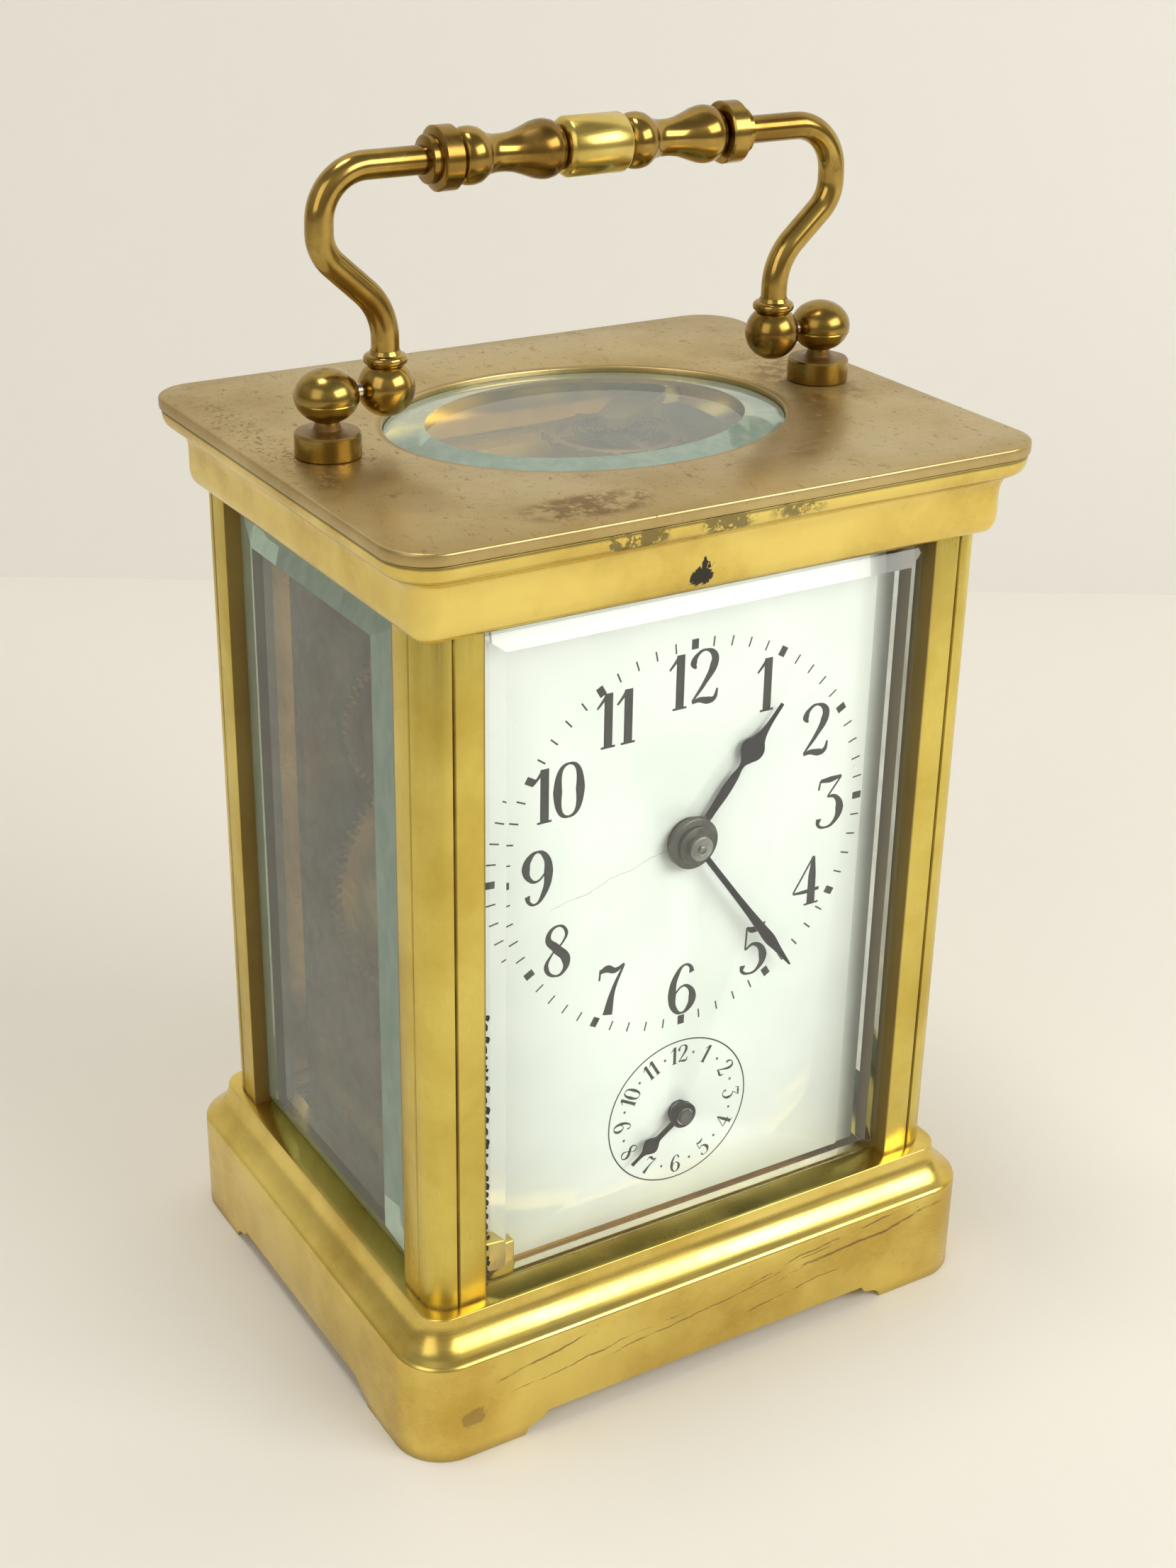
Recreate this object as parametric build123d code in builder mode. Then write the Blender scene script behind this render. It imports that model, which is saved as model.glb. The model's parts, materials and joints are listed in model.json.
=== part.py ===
"""Carriage-type mantel clock with alarm: brass case, bevelled glasses, folding handle and movement.

Millimetres. +Z is up, the dial faces -Y, +X is to the right of someone reading the dial.
The origin is the middle of the footprint, on the surface that the feet stand on.
"""

from build123d import *
from math import acos, cos, degrees, hypot, radians, sin
import os

os.makedirs("parts", exist_ok=True)

# ---------------------------------------------------------------- driving dimensions
base_half_x, base_half_y, base_corner = 40.0, 33.1, 6.2
base_height = 17.84
base_wall = 4.0
web_bottom, web_top = 9.0, 12.5
foot_length_x, foot_length_y = 14.0, 13.8
apron_height = 2.4
recess_half_x, recess_half_y = 28.2, 23.2

pillar_x, pillar_y, pillar_width = 35.63, 28.33, 6.95
groove_place, groove_size = 3.41, 0.4
pillar_top = 100.4

cornice_half_x, cornice_half_y, cornice_corner = 39.7, 32.9, 5.3
cornice_top = 109.6

plate_half_x, plate_half_y, plate_corner = 40.0, 33.1, 5.5
plate_bottom, plate_top = 109.65, 111.1
window_radius_x, window_radius_y = 23.9, 19.3

glass_thickness = 2.0
glass_outer_x, glass_outer_y = 35.0, 27.8
glass_edge = 0.8
glass_bevel = 3.5
glass_in_groove = 1.4
glass_gap = 0.05

door_half_x = 28.35
door_inner_y, door_outer_y = 25.6, 28.0
door_bottom, door_top = 18.1, 100.1
door_bar = 3.9

dial_face_y, dial_thickness = -22.7, 1.2
dial_half_x, dial_bottom, dial_top = 24.6, 18.3, 101.0
hands_z, alarm_z = 67.83, 31.44

front_plate_y, back_plate_y = -16.5, 18.9
front_plate_thickness, back_plate_thickness = 2.0, 2.4
plate_width = 55.2
movement_top = 98.0
platform_thickness = 1.8

handle_axis_z, post_x, ball_x = 117.62, 32.08, 25.11
grip_z = 141.0
rod_radius = 1.52
running_gap = 0.05

going_x, going_z = -9.2, 50.85
alarm_barrel_x, alarm_barrel_z = 14.5, 40.0
third_x, third_z = -12.4, 71.6
contrate_x, contrate_z = -4.3, 80.78
alarm_escape_x, alarm_escape_z = 23.0, 29.4
hammer_x, hammer_z = 17.5, 22.5
balance_x, balance_y = 9.0, 8.4

# derived places
front_plate_inner = front_plate_y + front_plate_thickness
back_plate_inner = back_plate_y - back_plate_thickness
dial_back_y = dial_face_y + dial_thickness
platform_top = movement_top + platform_thickness


# ---------------------------------------------------------------- helpers
def facing(y):
    """A plane at depth y that faces the dial side: its x is X and its y is Z."""
    return Plane.XZ.offset(-y)


def save(piece, name):
    piece.part.label = name
    export_step(piece.part, f"parts/{name}.step")


def disc(x, z, radius, y_back, y_front, mode=Mode.ADD):
    """A cylinder that lies front to back."""
    with BuildSketch(facing(y_back)) as face:
        with Locations((x, z)):
            Circle(radius)
    extrude(face.sketch, amount=y_back - y_front, mode=mode)


def post(x, y, radius, z_low, z_high, mode=Mode.ADD):
    """A cylinder that stands up."""
    with BuildSketch(Plane.XY.offset(z_low)) as face:
        with Locations((x, y)):
            Circle(radius)
    extrude(face.sketch, amount=z_high - z_low, mode=mode)


def squared(x, z, side, y_back, y_front):
    """A winding square that lies front to back."""
    with BuildSketch(facing(y_back)) as face:
        with Locations((x, z)):
            Rectangle(side, side)
    extrude(face.sketch, amount=y_back - y_front)


def polar(radius, angle):
    return (radius * cos(radians(angle)), radius * sin(radians(angle)))


def tooth_points(teeth, module, phase):
    """Outline of a toothed wheel about the origin, with the middle of a tooth at the phase angle."""
    root, tip = module * (teeth / 2 - 1.15), module * (teeth / 2 + 0.85)
    flanks = ((root, -0.30), (tip, -0.11), (tip, 0.11), (root, 0.30))
    return [
        polar(radius, phase + (tooth + turn) * 360 / teeth)
        for tooth in range(teeth)
        for radius, turn in flanks
    ]


def saw_points(teeth, root, tip):
    """Outline of a ratchet or escape wheel about the origin."""
    return [
        polar(radius, (tooth + turn) * 360 / teeth)
        for tooth in range(teeth)
        for radius, turn in ((root, 0.0), (tip, 0.72), (tip, 0.84), (root, 0.92))
    ]


def toothed(points, plane, thickness, place=(0, 0)):
    """A flat wheel with the given outline."""
    with BuildSketch(plane) as face:
        with BuildLine():
            Polyline([(place[0] + x, place[1] + y) for x, y in points], close=True)
        make_face()
    extrude(face.sketch, amount=thickness)


def gear(x, z, teeth, module, phase, y_back, y_front):
    toothed(tooth_points(teeth, module, phase), facing(y_back), y_back - y_front, (x, z))


def cross_out(x, z, inner, outer, arm, y_back, y_front):
    """Cut a wheel's disc away between its rim and hub and leave four arms."""
    with BuildSketch(facing(y_back)) as face:
        with Locations((x, z)):
            Circle(outer)
            Circle(inner, mode=Mode.SUBTRACT)
            for angle in (45, 135):
                Rectangle(2.2 * outer, arm, rotation=angle, mode=Mode.SUBTRACT)
    extrude(face.sketch, amount=y_back - y_front, mode=Mode.SUBTRACT)


def mesh_phase(first_phase, first_teeth, second_teeth, direction):
    """Phase of a second wheel that meshes with a first one, seen from it in that direction."""
    turned = (first_phase - direction) * first_teeth / second_teeth
    return direction + 180 - 180 / second_teeth - turned


def bearing_of(x0, z0, x1, z1):
    """Angle from one centre to another."""
    angle = degrees(acos((x1 - x0) / hypot(x1 - x0, z1 - z0)))
    return angle if z1 >= z0 else -angle


def spiral_points(inner, outer, turns, width, start, steps=28):
    """Outline of a flat coiled strip about the origin."""
    count = int(turns * steps)
    middle = [(inner + (outer - inner) * i / count, start + 360 * turns * i / count) for i in range(count + 1)]
    there = [polar(radius + width / 2, angle) for radius, angle in middle]
    back = [polar(radius - width / 2, angle) for radius, angle in reversed(middle)]
    return there + back


def rounded_path(half_x, half_y, corner):
    """Closed path round a rounded rectangle, from the middle of its front."""
    sides = (half_y - corner, half_x - corner, half_y - corner, (half_x - corner) / 2)
    with BuildLine() as path:
        side = Line((0, -half_y), (half_x - corner, -half_y))
        for half_side in sides:
            bend = JernArc(side @ 1, side % 1, corner, 90)
            side = PolarLine(bend @ 1, 2 * half_side, direction=bend % 1)
    return path.wire()


def moulding_plane(half_y):
    """At the middle of the front: x is the depth inwards, y is the height."""
    return Plane(origin=(0, -half_y, 0), x_dir=(0, 1, 0), z_dir=(1, 0, 0))


def pane(plane, half_width, low, high, bevel_half, groove_depth):
    """A bevelled glass: a thin edge all round and a raised middle. The plane is its inner face."""
    middle = (low + high) / 2
    with BuildSketch(plane) as edge:
        with Locations((0, middle)):
            Rectangle(2 * half_width, high - low)
    extrude(edge.sketch, amount=glass_edge)
    with BuildSketch(plane.offset(glass_edge)) as foot:
        with Locations((0, middle)):
            Rectangle(2 * half_width, high - low)
    with BuildSketch(plane.offset(glass_thickness)) as crown:
        with Locations((0, middle)):
            Rectangle(2 * bevel_half, high - low - 2 * groove_depth)
    loft([foot.sketch.face(), crown.sketch.face()])


# ---------------------------------------------------------------- case: base
screw_x, screw_y = 32.15, 24.9
case_screw_radius, case_head_radius, case_head_height = 1.0, 2.0, 1.6
foot_screw_x = 18.0
foot_screw_radius, foot_head_radius, foot_head_height = 0.7, 1.6, 1.3
plate_middles = (
    (front_plate_y + front_plate_inner) / 2,
    (back_plate_y + back_plate_inner) / 2,
)
hinge_x, hinge_y, hinge_radius = 27.15, 26.8, 0.6

with BuildPart() as base:
    with BuildSketch():
        RectangleRounded(2 * base_half_x, 2 * base_half_y, base_corner)
    extrude(amount=base_height)
    # the moulding: a cove under the top edge, then a round down to the plinth
    with BuildSketch(moulding_plane(base_half_y)):
        with BuildLine():
            cove = ThreePointArc((3.4, 17.35), (3.05, 16.15), (2.35, 15.35))
            ThreePointArc(cove @ 1, (0.7, 14.0), (0, 12.3))
            Polyline((0, 12.3), (-1, 12.3), (-1, 19), (3.5, 19), (3.5, 17.35), (3.4, 17.35))
        make_face()
    sweep(path=rounded_path(base_half_x, base_half_y, base_corner), mode=Mode.SUBTRACT)
    # hollow underside and the recess that the movement stands in
    with BuildSketch():
        RectangleRounded(2 * (base_half_x - base_wall), 2 * (base_half_y - base_wall), 2.5)
    extrude(amount=web_bottom, mode=Mode.SUBTRACT)
    with BuildSketch(Plane.XY.offset(web_top)):
        Rectangle(2 * recess_half_x, 2 * recess_half_y)
    extrude(amount=base_height - web_top, mode=Mode.SUBTRACT)
    # aprons between the feet, with a small double curve at each end
    for plane, half, foot_length in (
        (Plane.XZ, base_half_x, foot_length_x),
        (Plane.YZ, base_half_y, foot_length_y),
    ):
        reach = half - foot_length
        with BuildSketch(plane):
            with BuildLine():
                Line((-reach, -1), (reach, -1))
                Line((reach, -1), (reach, 0))
                hollow = ThreePointArc((reach, 0), (reach - 0.45, 1.0), (reach - 1.6, 1.4))
                crest = ThreePointArc(hollow @ 1, (reach - 2.6, 1.7), (reach - 3.0, apron_height))
                Line(crest @ 1, (-reach + 3.0, apron_height))
                left = ThreePointArc(
                    (-reach + 3.0, apron_height), (-reach + 2.6, 1.7), (-reach + 1.6, 1.4)
                )
                ThreePointArc(left @ 1, (-reach + 0.45, 1.0), (-reach, 0))
                Line((-reach, 0), (-reach, -1))
            make_face()
        extrude(amount=base_half_x + 5, both=True, mode=Mode.SUBTRACT)
    for x in (-screw_x, screw_x):
        for y in (-screw_y, screw_y):
            post(x, y, case_screw_radius, 0, base_height, mode=Mode.SUBTRACT)
    for x in (-foot_screw_x, foot_screw_x):
        for y in plate_middles:
            post(x, y, foot_screw_radius, 0, web_top, mode=Mode.SUBTRACT)
    post(hinge_x, hinge_y, hinge_radius, 15.5, base_height, mode=Mode.SUBTRACT)
save(base, "base")

# ---------------------------------------------------------------- case: pillars
inner_x, inner_y = pillar_x - pillar_width, pillar_y - pillar_width
corner_round = groove_place - 0.2
for side, sx in (("left", -1), ("right", 1)):
    for end, sy in (("front", -1), ("rear", 1)):
        with BuildPart() as pillar:
            with BuildSketch(Plane.XY.offset(base_height)):
                with BuildLine():
                    Line((sx * inner_x, sy * inner_y), (sx * pillar_x, sy * inner_y))
                    Line((sx * pillar_x, sy * inner_y), (sx * pillar_x, sy * (pillar_y - corner_round)))
                    ThreePointArc(
                        (sx * pillar_x, sy * (pillar_y - corner_round)),
                        (sx * (pillar_x - 0.293 * corner_round), sy * (pillar_y - 0.293 * corner_round)),
                        (sx * (pillar_x - corner_round), sy * pillar_y),
                    )
                    Line((sx * (pillar_x - corner_round), sy * pillar_y), (sx * inner_x, sy * pillar_y))
                    Line((sx * inner_x, sy * pillar_y), (sx * inner_x, sy * inner_y))
                make_face()
                # the two fine grooves beside the rounded corner
                with Locations(
                    (sx * (pillar_x - groove_place), sy * pillar_y),
                    (sx * pillar_x, sy * (pillar_y - groove_place)),
                ):
                    Rectangle(groove_size, groove_size, rotation=45, mode=Mode.SUBTRACT)
                # grooves that hold the glasses
                side_groove = glass_outer_x - glass_thickness / 2 - 0.4
                with Locations((sx * side_groove, sy * inner_y)):
                    Rectangle(1.35, 2 * (glass_in_groove + 0.1), mode=Mode.SUBTRACT)
                if sy < 0:
                    front_groove = glass_outer_y - glass_thickness / 2 - 0.4
                    with Locations((sx * inner_x, sy * front_groove)):
                        Rectangle(2 * (glass_in_groove + 0.1), 1.35, mode=Mode.SUBTRACT)
            extrude(amount=pillar_top - base_height)
            post(sx * screw_x, sy * screw_y, case_screw_radius, base_height, 21.1, mode=Mode.SUBTRACT)
            post(sx * screw_x, sy * screw_y, case_screw_radius, 95.8, pillar_top, mode=Mode.SUBTRACT)
        save(pillar, f"pillar_{end}_{side}")

# ---------------------------------------------------------------- case: cornice and top plate
cornice_head_floor = 107.9
ring_bottom, glass_bottom = 106.7, 107.75
with BuildPart() as cornice:
    with BuildSketch(Plane.XY.offset(pillar_top)):
        RectangleRounded(2 * cornice_half_x, 2 * cornice_half_y, cornice_corner)
        RectangleRounded(2 * recess_half_x, 2 * recess_half_y, 2.0, mode=Mode.SUBTRACT)
    extrude(amount=cornice_top - pillar_top)
    # the moulding from the top down: a round, a cove, a flat band and a round under edge
    with BuildSketch(moulding_plane(cornice_half_y)):
        with BuildLine():
            ovolo = ThreePointArc((0, 109.2), (0.3, 108.3), (1.05, 107.55))
            cove = ThreePointArc(ovolo @ 1, (2.2, 106.35), (2.77, 104.8))
            Line(cove @ 1, (2.77, 102.4))
            ThreePointArc((2.77, 102.4), (3.1, 101.45), (3.95, pillar_top - 0.01))
            Polyline((3.95, pillar_top - 0.01), (3.95, 99), (-1, 99), (-1, 109.2), (0, 109.2))
        make_face()
    sweep(path=rounded_path(cornice_half_x, cornice_half_y, cornice_corner), mode=Mode.SUBTRACT)
    for x in (-screw_x, screw_x):
        for y in (-screw_y, screw_y):
            post(x, y, case_screw_radius, pillar_top, cornice_top, mode=Mode.SUBTRACT)
            post(x, y, case_head_radius, cornice_head_floor, cornice_top, mode=Mode.SUBTRACT)
    post(hinge_x, hinge_y, hinge_radius, pillar_top, 102.6, mode=Mode.SUBTRACT)
save(cornice, "cornice")

with BuildPart() as top_plate:
    with BuildSketch(Plane.XY.offset(plate_bottom)):
        RectangleRounded(2 * plate_half_x, 2 * plate_half_y, plate_corner)
    extrude(amount=plate_top - plate_bottom)
    rim = top_plate.faces().sort_by(Axis.Z)[-1].edges() + top_plate.faces().sort_by(Axis.Z)[0].edges()
    fillet(rim, 0.55)
    with BuildSketch(Plane.XY.offset(plate_bottom)):
        Ellipse(window_radius_x, window_radius_y)
    extrude(amount=plate_top - plate_bottom, mode=Mode.SUBTRACT)
save(top_plate, "top_plate")

with BuildPart() as top_glass:
    with BuildSketch(Plane.XY.offset(glass_bottom)):
        Ellipse(window_radius_x + 1.4, window_radius_y + 1.4)
    extrude(amount=109.6 - glass_bottom)
    with BuildSketch(Plane.XY.offset(109.6)) as bevel_foot:
        Ellipse(window_radius_x - 0.1, window_radius_y - 0.1)
    with BuildSketch(Plane.XY.offset(110.85)) as bevel_head:
        Ellipse(window_radius_x - 4.7, window_radius_y - 4.7)
    loft([bevel_foot.sketch.face(), bevel_head.sketch.face()])
save(top_glass, "top_glass")

with BuildPart() as top_glass_ring:
    with BuildSketch(Plane.XY.offset(ring_bottom)):
        Ellipse(window_radius_x + 3.0, window_radius_y + 3.0)
        Ellipse(window_radius_x - 0.4, window_radius_y - 0.4, mode=Mode.SUBTRACT)
    extrude(amount=plate_bottom - ring_bottom)
    with BuildSketch(Plane.XY.offset(glass_bottom)):
        Ellipse(window_radius_x + 1.45, window_radius_y + 1.45)
    extrude(amount=plate_bottom - glass_bottom, mode=Mode.SUBTRACT)
save(top_glass_ring, "top_glass_ring")

# ---------------------------------------------------------------- case: glasses
glass_low, glass_high = base_height + glass_gap, pillar_top - glass_gap
with BuildPart() as front_glass:
    pane(
        facing(-(glass_outer_y - glass_thickness)),
        inner_x + glass_in_groove,
        glass_low,
        glass_high,
        inner_x - glass_bevel,
        glass_bevel,
    )
save(front_glass, "front_glass")

with BuildPart() as side_glasses:
    for sign in (-1, 1):
        inner_face = Plane(
            origin=(sign * (glass_outer_x - glass_thickness), 0, 0),
            x_dir=(0, sign, 0),
            z_dir=(sign, 0, 0),
        )
        pane(
            inner_face,
            inner_y + glass_in_groove,
            glass_low,
            glass_high,
            inner_y - glass_bevel,
            glass_bevel,
        )
save(side_glasses, "side_glasses")

# ---------------------------------------------------------------- case: screws
case_shank = 12.0
with BuildPart() as case_screws:
    for x in (-screw_x, screw_x):
        for y in (-screw_y, screw_y):
            post(x, y, case_head_radius, web_bottom - case_head_height, web_bottom)
            post(x, y, case_screw_radius, web_bottom, web_bottom + case_shank)
            post(x, y, case_head_radius, cornice_head_floor, cornice_head_floor + case_head_height)
            post(x, y, case_screw_radius, cornice_head_floor - case_shank, cornice_head_floor)
save(case_screws, "case_screws")

with BuildPart() as movement_base_screws:
    for x in (-foot_screw_x, foot_screw_x):
        for y in plate_middles:
            post(x, y, foot_head_radius, web_bottom - foot_head_height, web_bottom)
            post(x, y, foot_screw_radius, web_bottom, web_top + 4)
save(movement_base_screws, "movement_base_screws")

# ---------------------------------------------------------------- handle
pin_radius = 0.8
with BuildPart() as handle_posts:
    for sign in (-1, 1):
        x = sign * post_x
        with BuildSketch(Plane.XZ):
            with BuildLine():
                Polyline(
                    (x, plate_top),
                    (x + sign * 3.3, plate_top),
                    (x + sign * 3.6, plate_top + 0.3),
                    (x + sign * 3.6, plate_top + 2.4),
                    (x + sign * 3.3, plate_top + 2.7),
                    (x + sign * 1.9, plate_top + 2.75),
                    (x + sign * 1.35, plate_top + 3.1),
                )
                ThreePointArc(
                    (x + sign * 1.35, plate_top + 3.1),
                    (x + sign * 1.3, plate_top + 3.6),
                    (x + sign * 1.9, plate_top + 4.05),
                )
                ThreePointArc(
                    (x + sign * 1.9, plate_top + 4.05),
                    (x + sign * 3.5, handle_axis_z),
                    (x + sign * 1.9, handle_axis_z + 2.5),
                )
                ThreePointArc(
                    (x + sign * 1.9, handle_axis_z + 2.5),
                    (x + sign * 1.0, handle_axis_z + 2.87),
                    (x + sign * 0.3, handle_axis_z + 2.95),
                )
                Polyline((x + sign * 0.3, handle_axis_z + 2.95), (x, handle_axis_z + 2.95), (x, plate_top))
            make_face()
        revolve(axis=Axis((x, 0, 0), (0, 0, 1)))
    with BuildSketch(Plane.YZ.offset(-post_x)):
        with Locations((0, handle_axis_z)):
            Circle(pin_radius)
    extrude(amount=2 * post_x, mode=Mode.SUBTRACT)
save(handle_posts, "handle_posts")

pin_inner = 24.3
with BuildPart() as handle_pins:
    for start in (-post_x, pin_inner):
        with BuildSketch(Plane.YZ.offset(start)):
            with Locations((0, handle_axis_z)):
                Circle(pin_radius)
        extrude(amount=post_x - pin_inner)
save(handle_pins, "handle_pins")

ball_radius, ring_radius, arm_start = 3.15, 2.4, 119.9
for side, sign in (("left", -1), ("right", 1)):
    with BuildPart() as handle_arm:
        # the bent rod: up, out, up again and in to the grip
        with BuildLine() as bend:
            FilletPolyline(
                (sign * ball_x, 0, arm_start),
                (sign * ball_x, 0, 126.0),
                (sign * 32.35, 0, 132.6),
                (sign * 32.2, 0, grip_z),
                (sign * 20.3, 0, grip_z),
                radius=[7.0, 4.5, 5.4],
            )
        with BuildSketch(Plane.XY.offset(arm_start)):
            with Locations((sign * ball_x, 0)):
                Circle(rod_radius)
        sweep(path=bend.wire())
        # ball end and the small ring above it
        with Locations((sign * ball_x, 0, handle_axis_z)):
            Sphere(ball_radius)
        with BuildSketch(Plane.XY.offset(120.1)):
            with Locations((sign * ball_x, 0)):
                Circle(ring_radius)
        extrude(amount=1.2)
        circles = handle_arm.edges().filter_by(GeomType.CIRCLE)
        fillet(circles.filter_by(lambda e: abs(e.radius - ring_radius) < 0.01), 0.35)
        with BuildSketch(Plane.YZ.offset(sign * (ball_x + ball_radius + 0.5))):
            with Locations((0, handle_axis_z)):
                Circle(pin_radius + running_gap)
        extrude(amount=-sign * (ball_x + ball_radius + 0.6 - pin_inner), mode=Mode.SUBTRACT)
    save(handle_arm, f"handle_arm_{side}")

# the grip is turned pieces end to end; the two balusters face the same way
baluster_left_end, baluster_right_end, baluster_length = -16.6, 3.9, 12.6
with BuildPart() as grip_collars:
    for step_start, disc_start in ((-20.3, -19.2), (18.8, 16.5)):
        for start, length, radius in ((step_start, 1.1, 2.5), (disc_start, 2.3, 3.38)):
            with BuildSketch(Plane.YZ.offset(start)) as face:
                with Locations((0, grip_z)):
                    Circle(radius)
            extrude(amount=length)
    fillet(grip_collars.edges().filter_by(GeomType.CIRCLE).filter_by(lambda e: e.radius > 3), 0.4)
save(grip_collars, "grip_collars")

with BuildPart() as grip_balusters:
    for start in (baluster_left_end, baluster_right_end):
        with BuildSketch(Plane.XZ):
            with BuildLine():
                Line((start, grip_z), (start, grip_z + 1.9))
                ThreePointArc(
                    (start, grip_z + 1.9), (start + 1.75, grip_z + 3.05), (start + 3.5, grip_z + 2.3)
                )
                ThreePointArc(
                    (start + 3.5, grip_z + 2.3), (start + 5.6, grip_z + 1.98), (start + 8.0, grip_z + 2.6)
                )
                ThreePointArc(
                    (start + 8.0, grip_z + 2.6), (start + 10.5, grip_z + 3.15), (start + 12.3, grip_z + 2.5)
                )
                Polyline(
                    (start + 12.3, grip_z + 2.5),
                    (start + baluster_length, grip_z + 2.3),
                    (start + baluster_length, grip_z),
                    (start, grip_z),
                )
            make_face()
        revolve(axis=Axis((0, 0, grip_z), (1, 0, 0)))
save(grip_balusters, "grip_balusters")

with BuildPart() as grip_barrel:
    with BuildSketch(Plane.YZ.offset(-4.0)):
        with Locations((0, grip_z)):
            Circle(3.2)
    extrude(amount=7.9)
    chamfer(grip_barrel.edges().filter_by(GeomType.CIRCLE), 0.35)
save(grip_barrel, "grip_barrel")

# ---------------------------------------------------------------- rear door
door_round = (door_outer_y - door_inner_y) / 2
door_height = door_top - door_bottom
knob_x, knob_seat = -(door_half_x - 1.95), door_inner_y + 1.5
with BuildPart() as door_frame:
    with BuildSketch(Plane.XY.offset(door_bottom)):
        with Locations(((hinge_x - door_half_x) / 2, hinge_y)):
            Rectangle(door_half_x + hinge_x, 2 * door_round)
        with Locations((hinge_x, hinge_y)):
            Circle(door_round)
    extrude(amount=door_height)
    door_middle = (door_bottom + door_top) / 2
    with BuildSketch(facing(door_outer_y + 1)):
        with Locations((0, door_middle)):
            RectangleRounded(2 * (door_half_x - door_bar), door_height - 2 * door_bar, 0.6)
    extrude(amount=5, mode=Mode.SUBTRACT)
    with BuildSketch(facing(door_inner_y + 1.4)):
        with Locations((0, door_middle)):
            Rectangle(2 * (door_half_x - door_bar + 1.3), door_height - 2 * (door_bar - 1.3))
    extrude(amount=5, mode=Mode.SUBTRACT)
    post(hinge_x, hinge_y, hinge_radius + running_gap, door_bottom, 20.6, mode=Mode.SUBTRACT)
    post(hinge_x, hinge_y, hinge_radius + running_gap, 97.6, door_top, mode=Mode.SUBTRACT)
    disc(knob_x, 60, 0.8, 29, knob_seat, mode=Mode.SUBTRACT)
save(door_frame, "door_frame")

with BuildPart() as door_glass:
    with BuildSketch(facing(door_inner_y + 1.4)):
        with Locations((0, door_middle)):
            Rectangle(2 * (door_half_x - door_bar + 1.25), door_height - 2 * (door_bar - 1.25))
    extrude(amount=1.35)
save(door_glass, "door_glass")

with BuildPart() as door_knob:
    with BuildSketch(Plane.XY.offset(60)):
        with BuildLine():
            Polyline(
                (knob_x, knob_seat),
                (knob_x + 0.8, knob_seat),
                (knob_x + 0.8, door_outer_y),
                (knob_x + 1.6, door_outer_y),
                (knob_x + 1.6, door_outer_y + 0.5),
                (knob_x + 0.9, door_outer_y + 1.2),
            )
            ThreePointArc(
                (knob_x + 0.9, door_outer_y + 1.2),
                (knob_x + 1.9, door_outer_y + 2.5),
                (knob_x + 0.6, door_outer_y + 3.8),
            )
            Polyline((knob_x + 0.6, door_outer_y + 3.8), (knob_x, door_outer_y + 3.8), (knob_x, knob_seat))
        make_face()
    revolve(axis=Axis((knob_x, 0, 60), (0, 1, 0)))
save(door_knob, "door_knob")

with BuildPart() as door_hinge_pins:
    post(hinge_x, hinge_y, hinge_radius, 15.5, 20.5)
    post(hinge_x, hinge_y, hinge_radius, 97.7, 102.6)
save(door_hinge_pins, "door_hinge_pins")

# ---------------------------------------------------------------- dial
dial_feet_places = [(x, z) for x in (-21.5, 21.5) for z in (23.5, 88.0)]
with BuildPart() as dial:
    with BuildSketch(facing(dial_back_y)):
        with Locations((0, (dial_bottom + dial_top) / 2)):
            RectangleRounded(2 * dial_half_x, dial_top - dial_bottom, 0.5)
        with Locations((0, hands_z)):
            Circle(2.7, mode=Mode.SUBTRACT)
        with Locations((0, alarm_z)):
            Circle(1.3, mode=Mode.SUBTRACT)
    extrude(amount=dial_thickness)
    # feet soldered to its back, with a thin end through the movement's front plate
    for x, z in dial_feet_places:
        disc(x, z, 1.1, front_plate_y, dial_back_y)
        disc(x, z, 0.6, front_plate_inner + 0.8, front_plate_y)
save(dial, "dial")

# ---------------------------------------------------------------- wheel counts and phases
going_teeth, centre_pinion_teeth, going_module = 84, 8, 0.42
centre_teeth, third_pinion_teeth, train_module = 64, 8, 0.36
third_teeth, contrate_pinion_teeth = 60, 8
contrate_teeth, escape_pinion_teeth, contrate_module = 48, 6, 0.4
cannon_teeth, minute_teeth, minute_pinion_teeth, hour_teeth = 12, 36, 10, 40
hour_module = 0.45
cannon_module = hour_module * (minute_pinion_teeth + hour_teeth) / (cannon_teeth + minute_teeth)
idler_teeth, alarm_great_teeth, alarm_pinion_teeth, alarm_module = 41, 60, 8, 0.4

# motion work: the minute wheel's place and the idler's place follow from the wheel sizes
motion_distance = hour_module * (minute_pinion_teeth + hour_teeth) / 2
minute_angle = 35.0
minute_x = motion_distance * cos(radians(minute_angle))
minute_z = hands_z + motion_distance * sin(radians(minute_angle))
idler_distance = hour_module * (hour_teeth + idler_teeth) / 2
idler_z = (hands_z + alarm_z) / 2
idler_x = -((idler_distance**2 - (hands_z - idler_z) ** 2) ** 0.5)

cannon_phase = 0.0
minute_phase = mesh_phase(cannon_phase, cannon_teeth, minute_teeth, minute_angle)
minute_pinion_phase = 0.0
hour_phase = mesh_phase(minute_pinion_phase, minute_pinion_teeth, hour_teeth, minute_angle + 180)
idler_direction = bearing_of(0, hands_z, idler_x, idler_z)
idler_phase = mesh_phase(hour_phase, hour_teeth, idler_teeth, idler_direction)
alarm_direction = bearing_of(idler_x, idler_z, 0, alarm_z)
alarm_phase = mesh_phase(idler_phase, idler_teeth, hour_teeth, alarm_direction)

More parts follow.
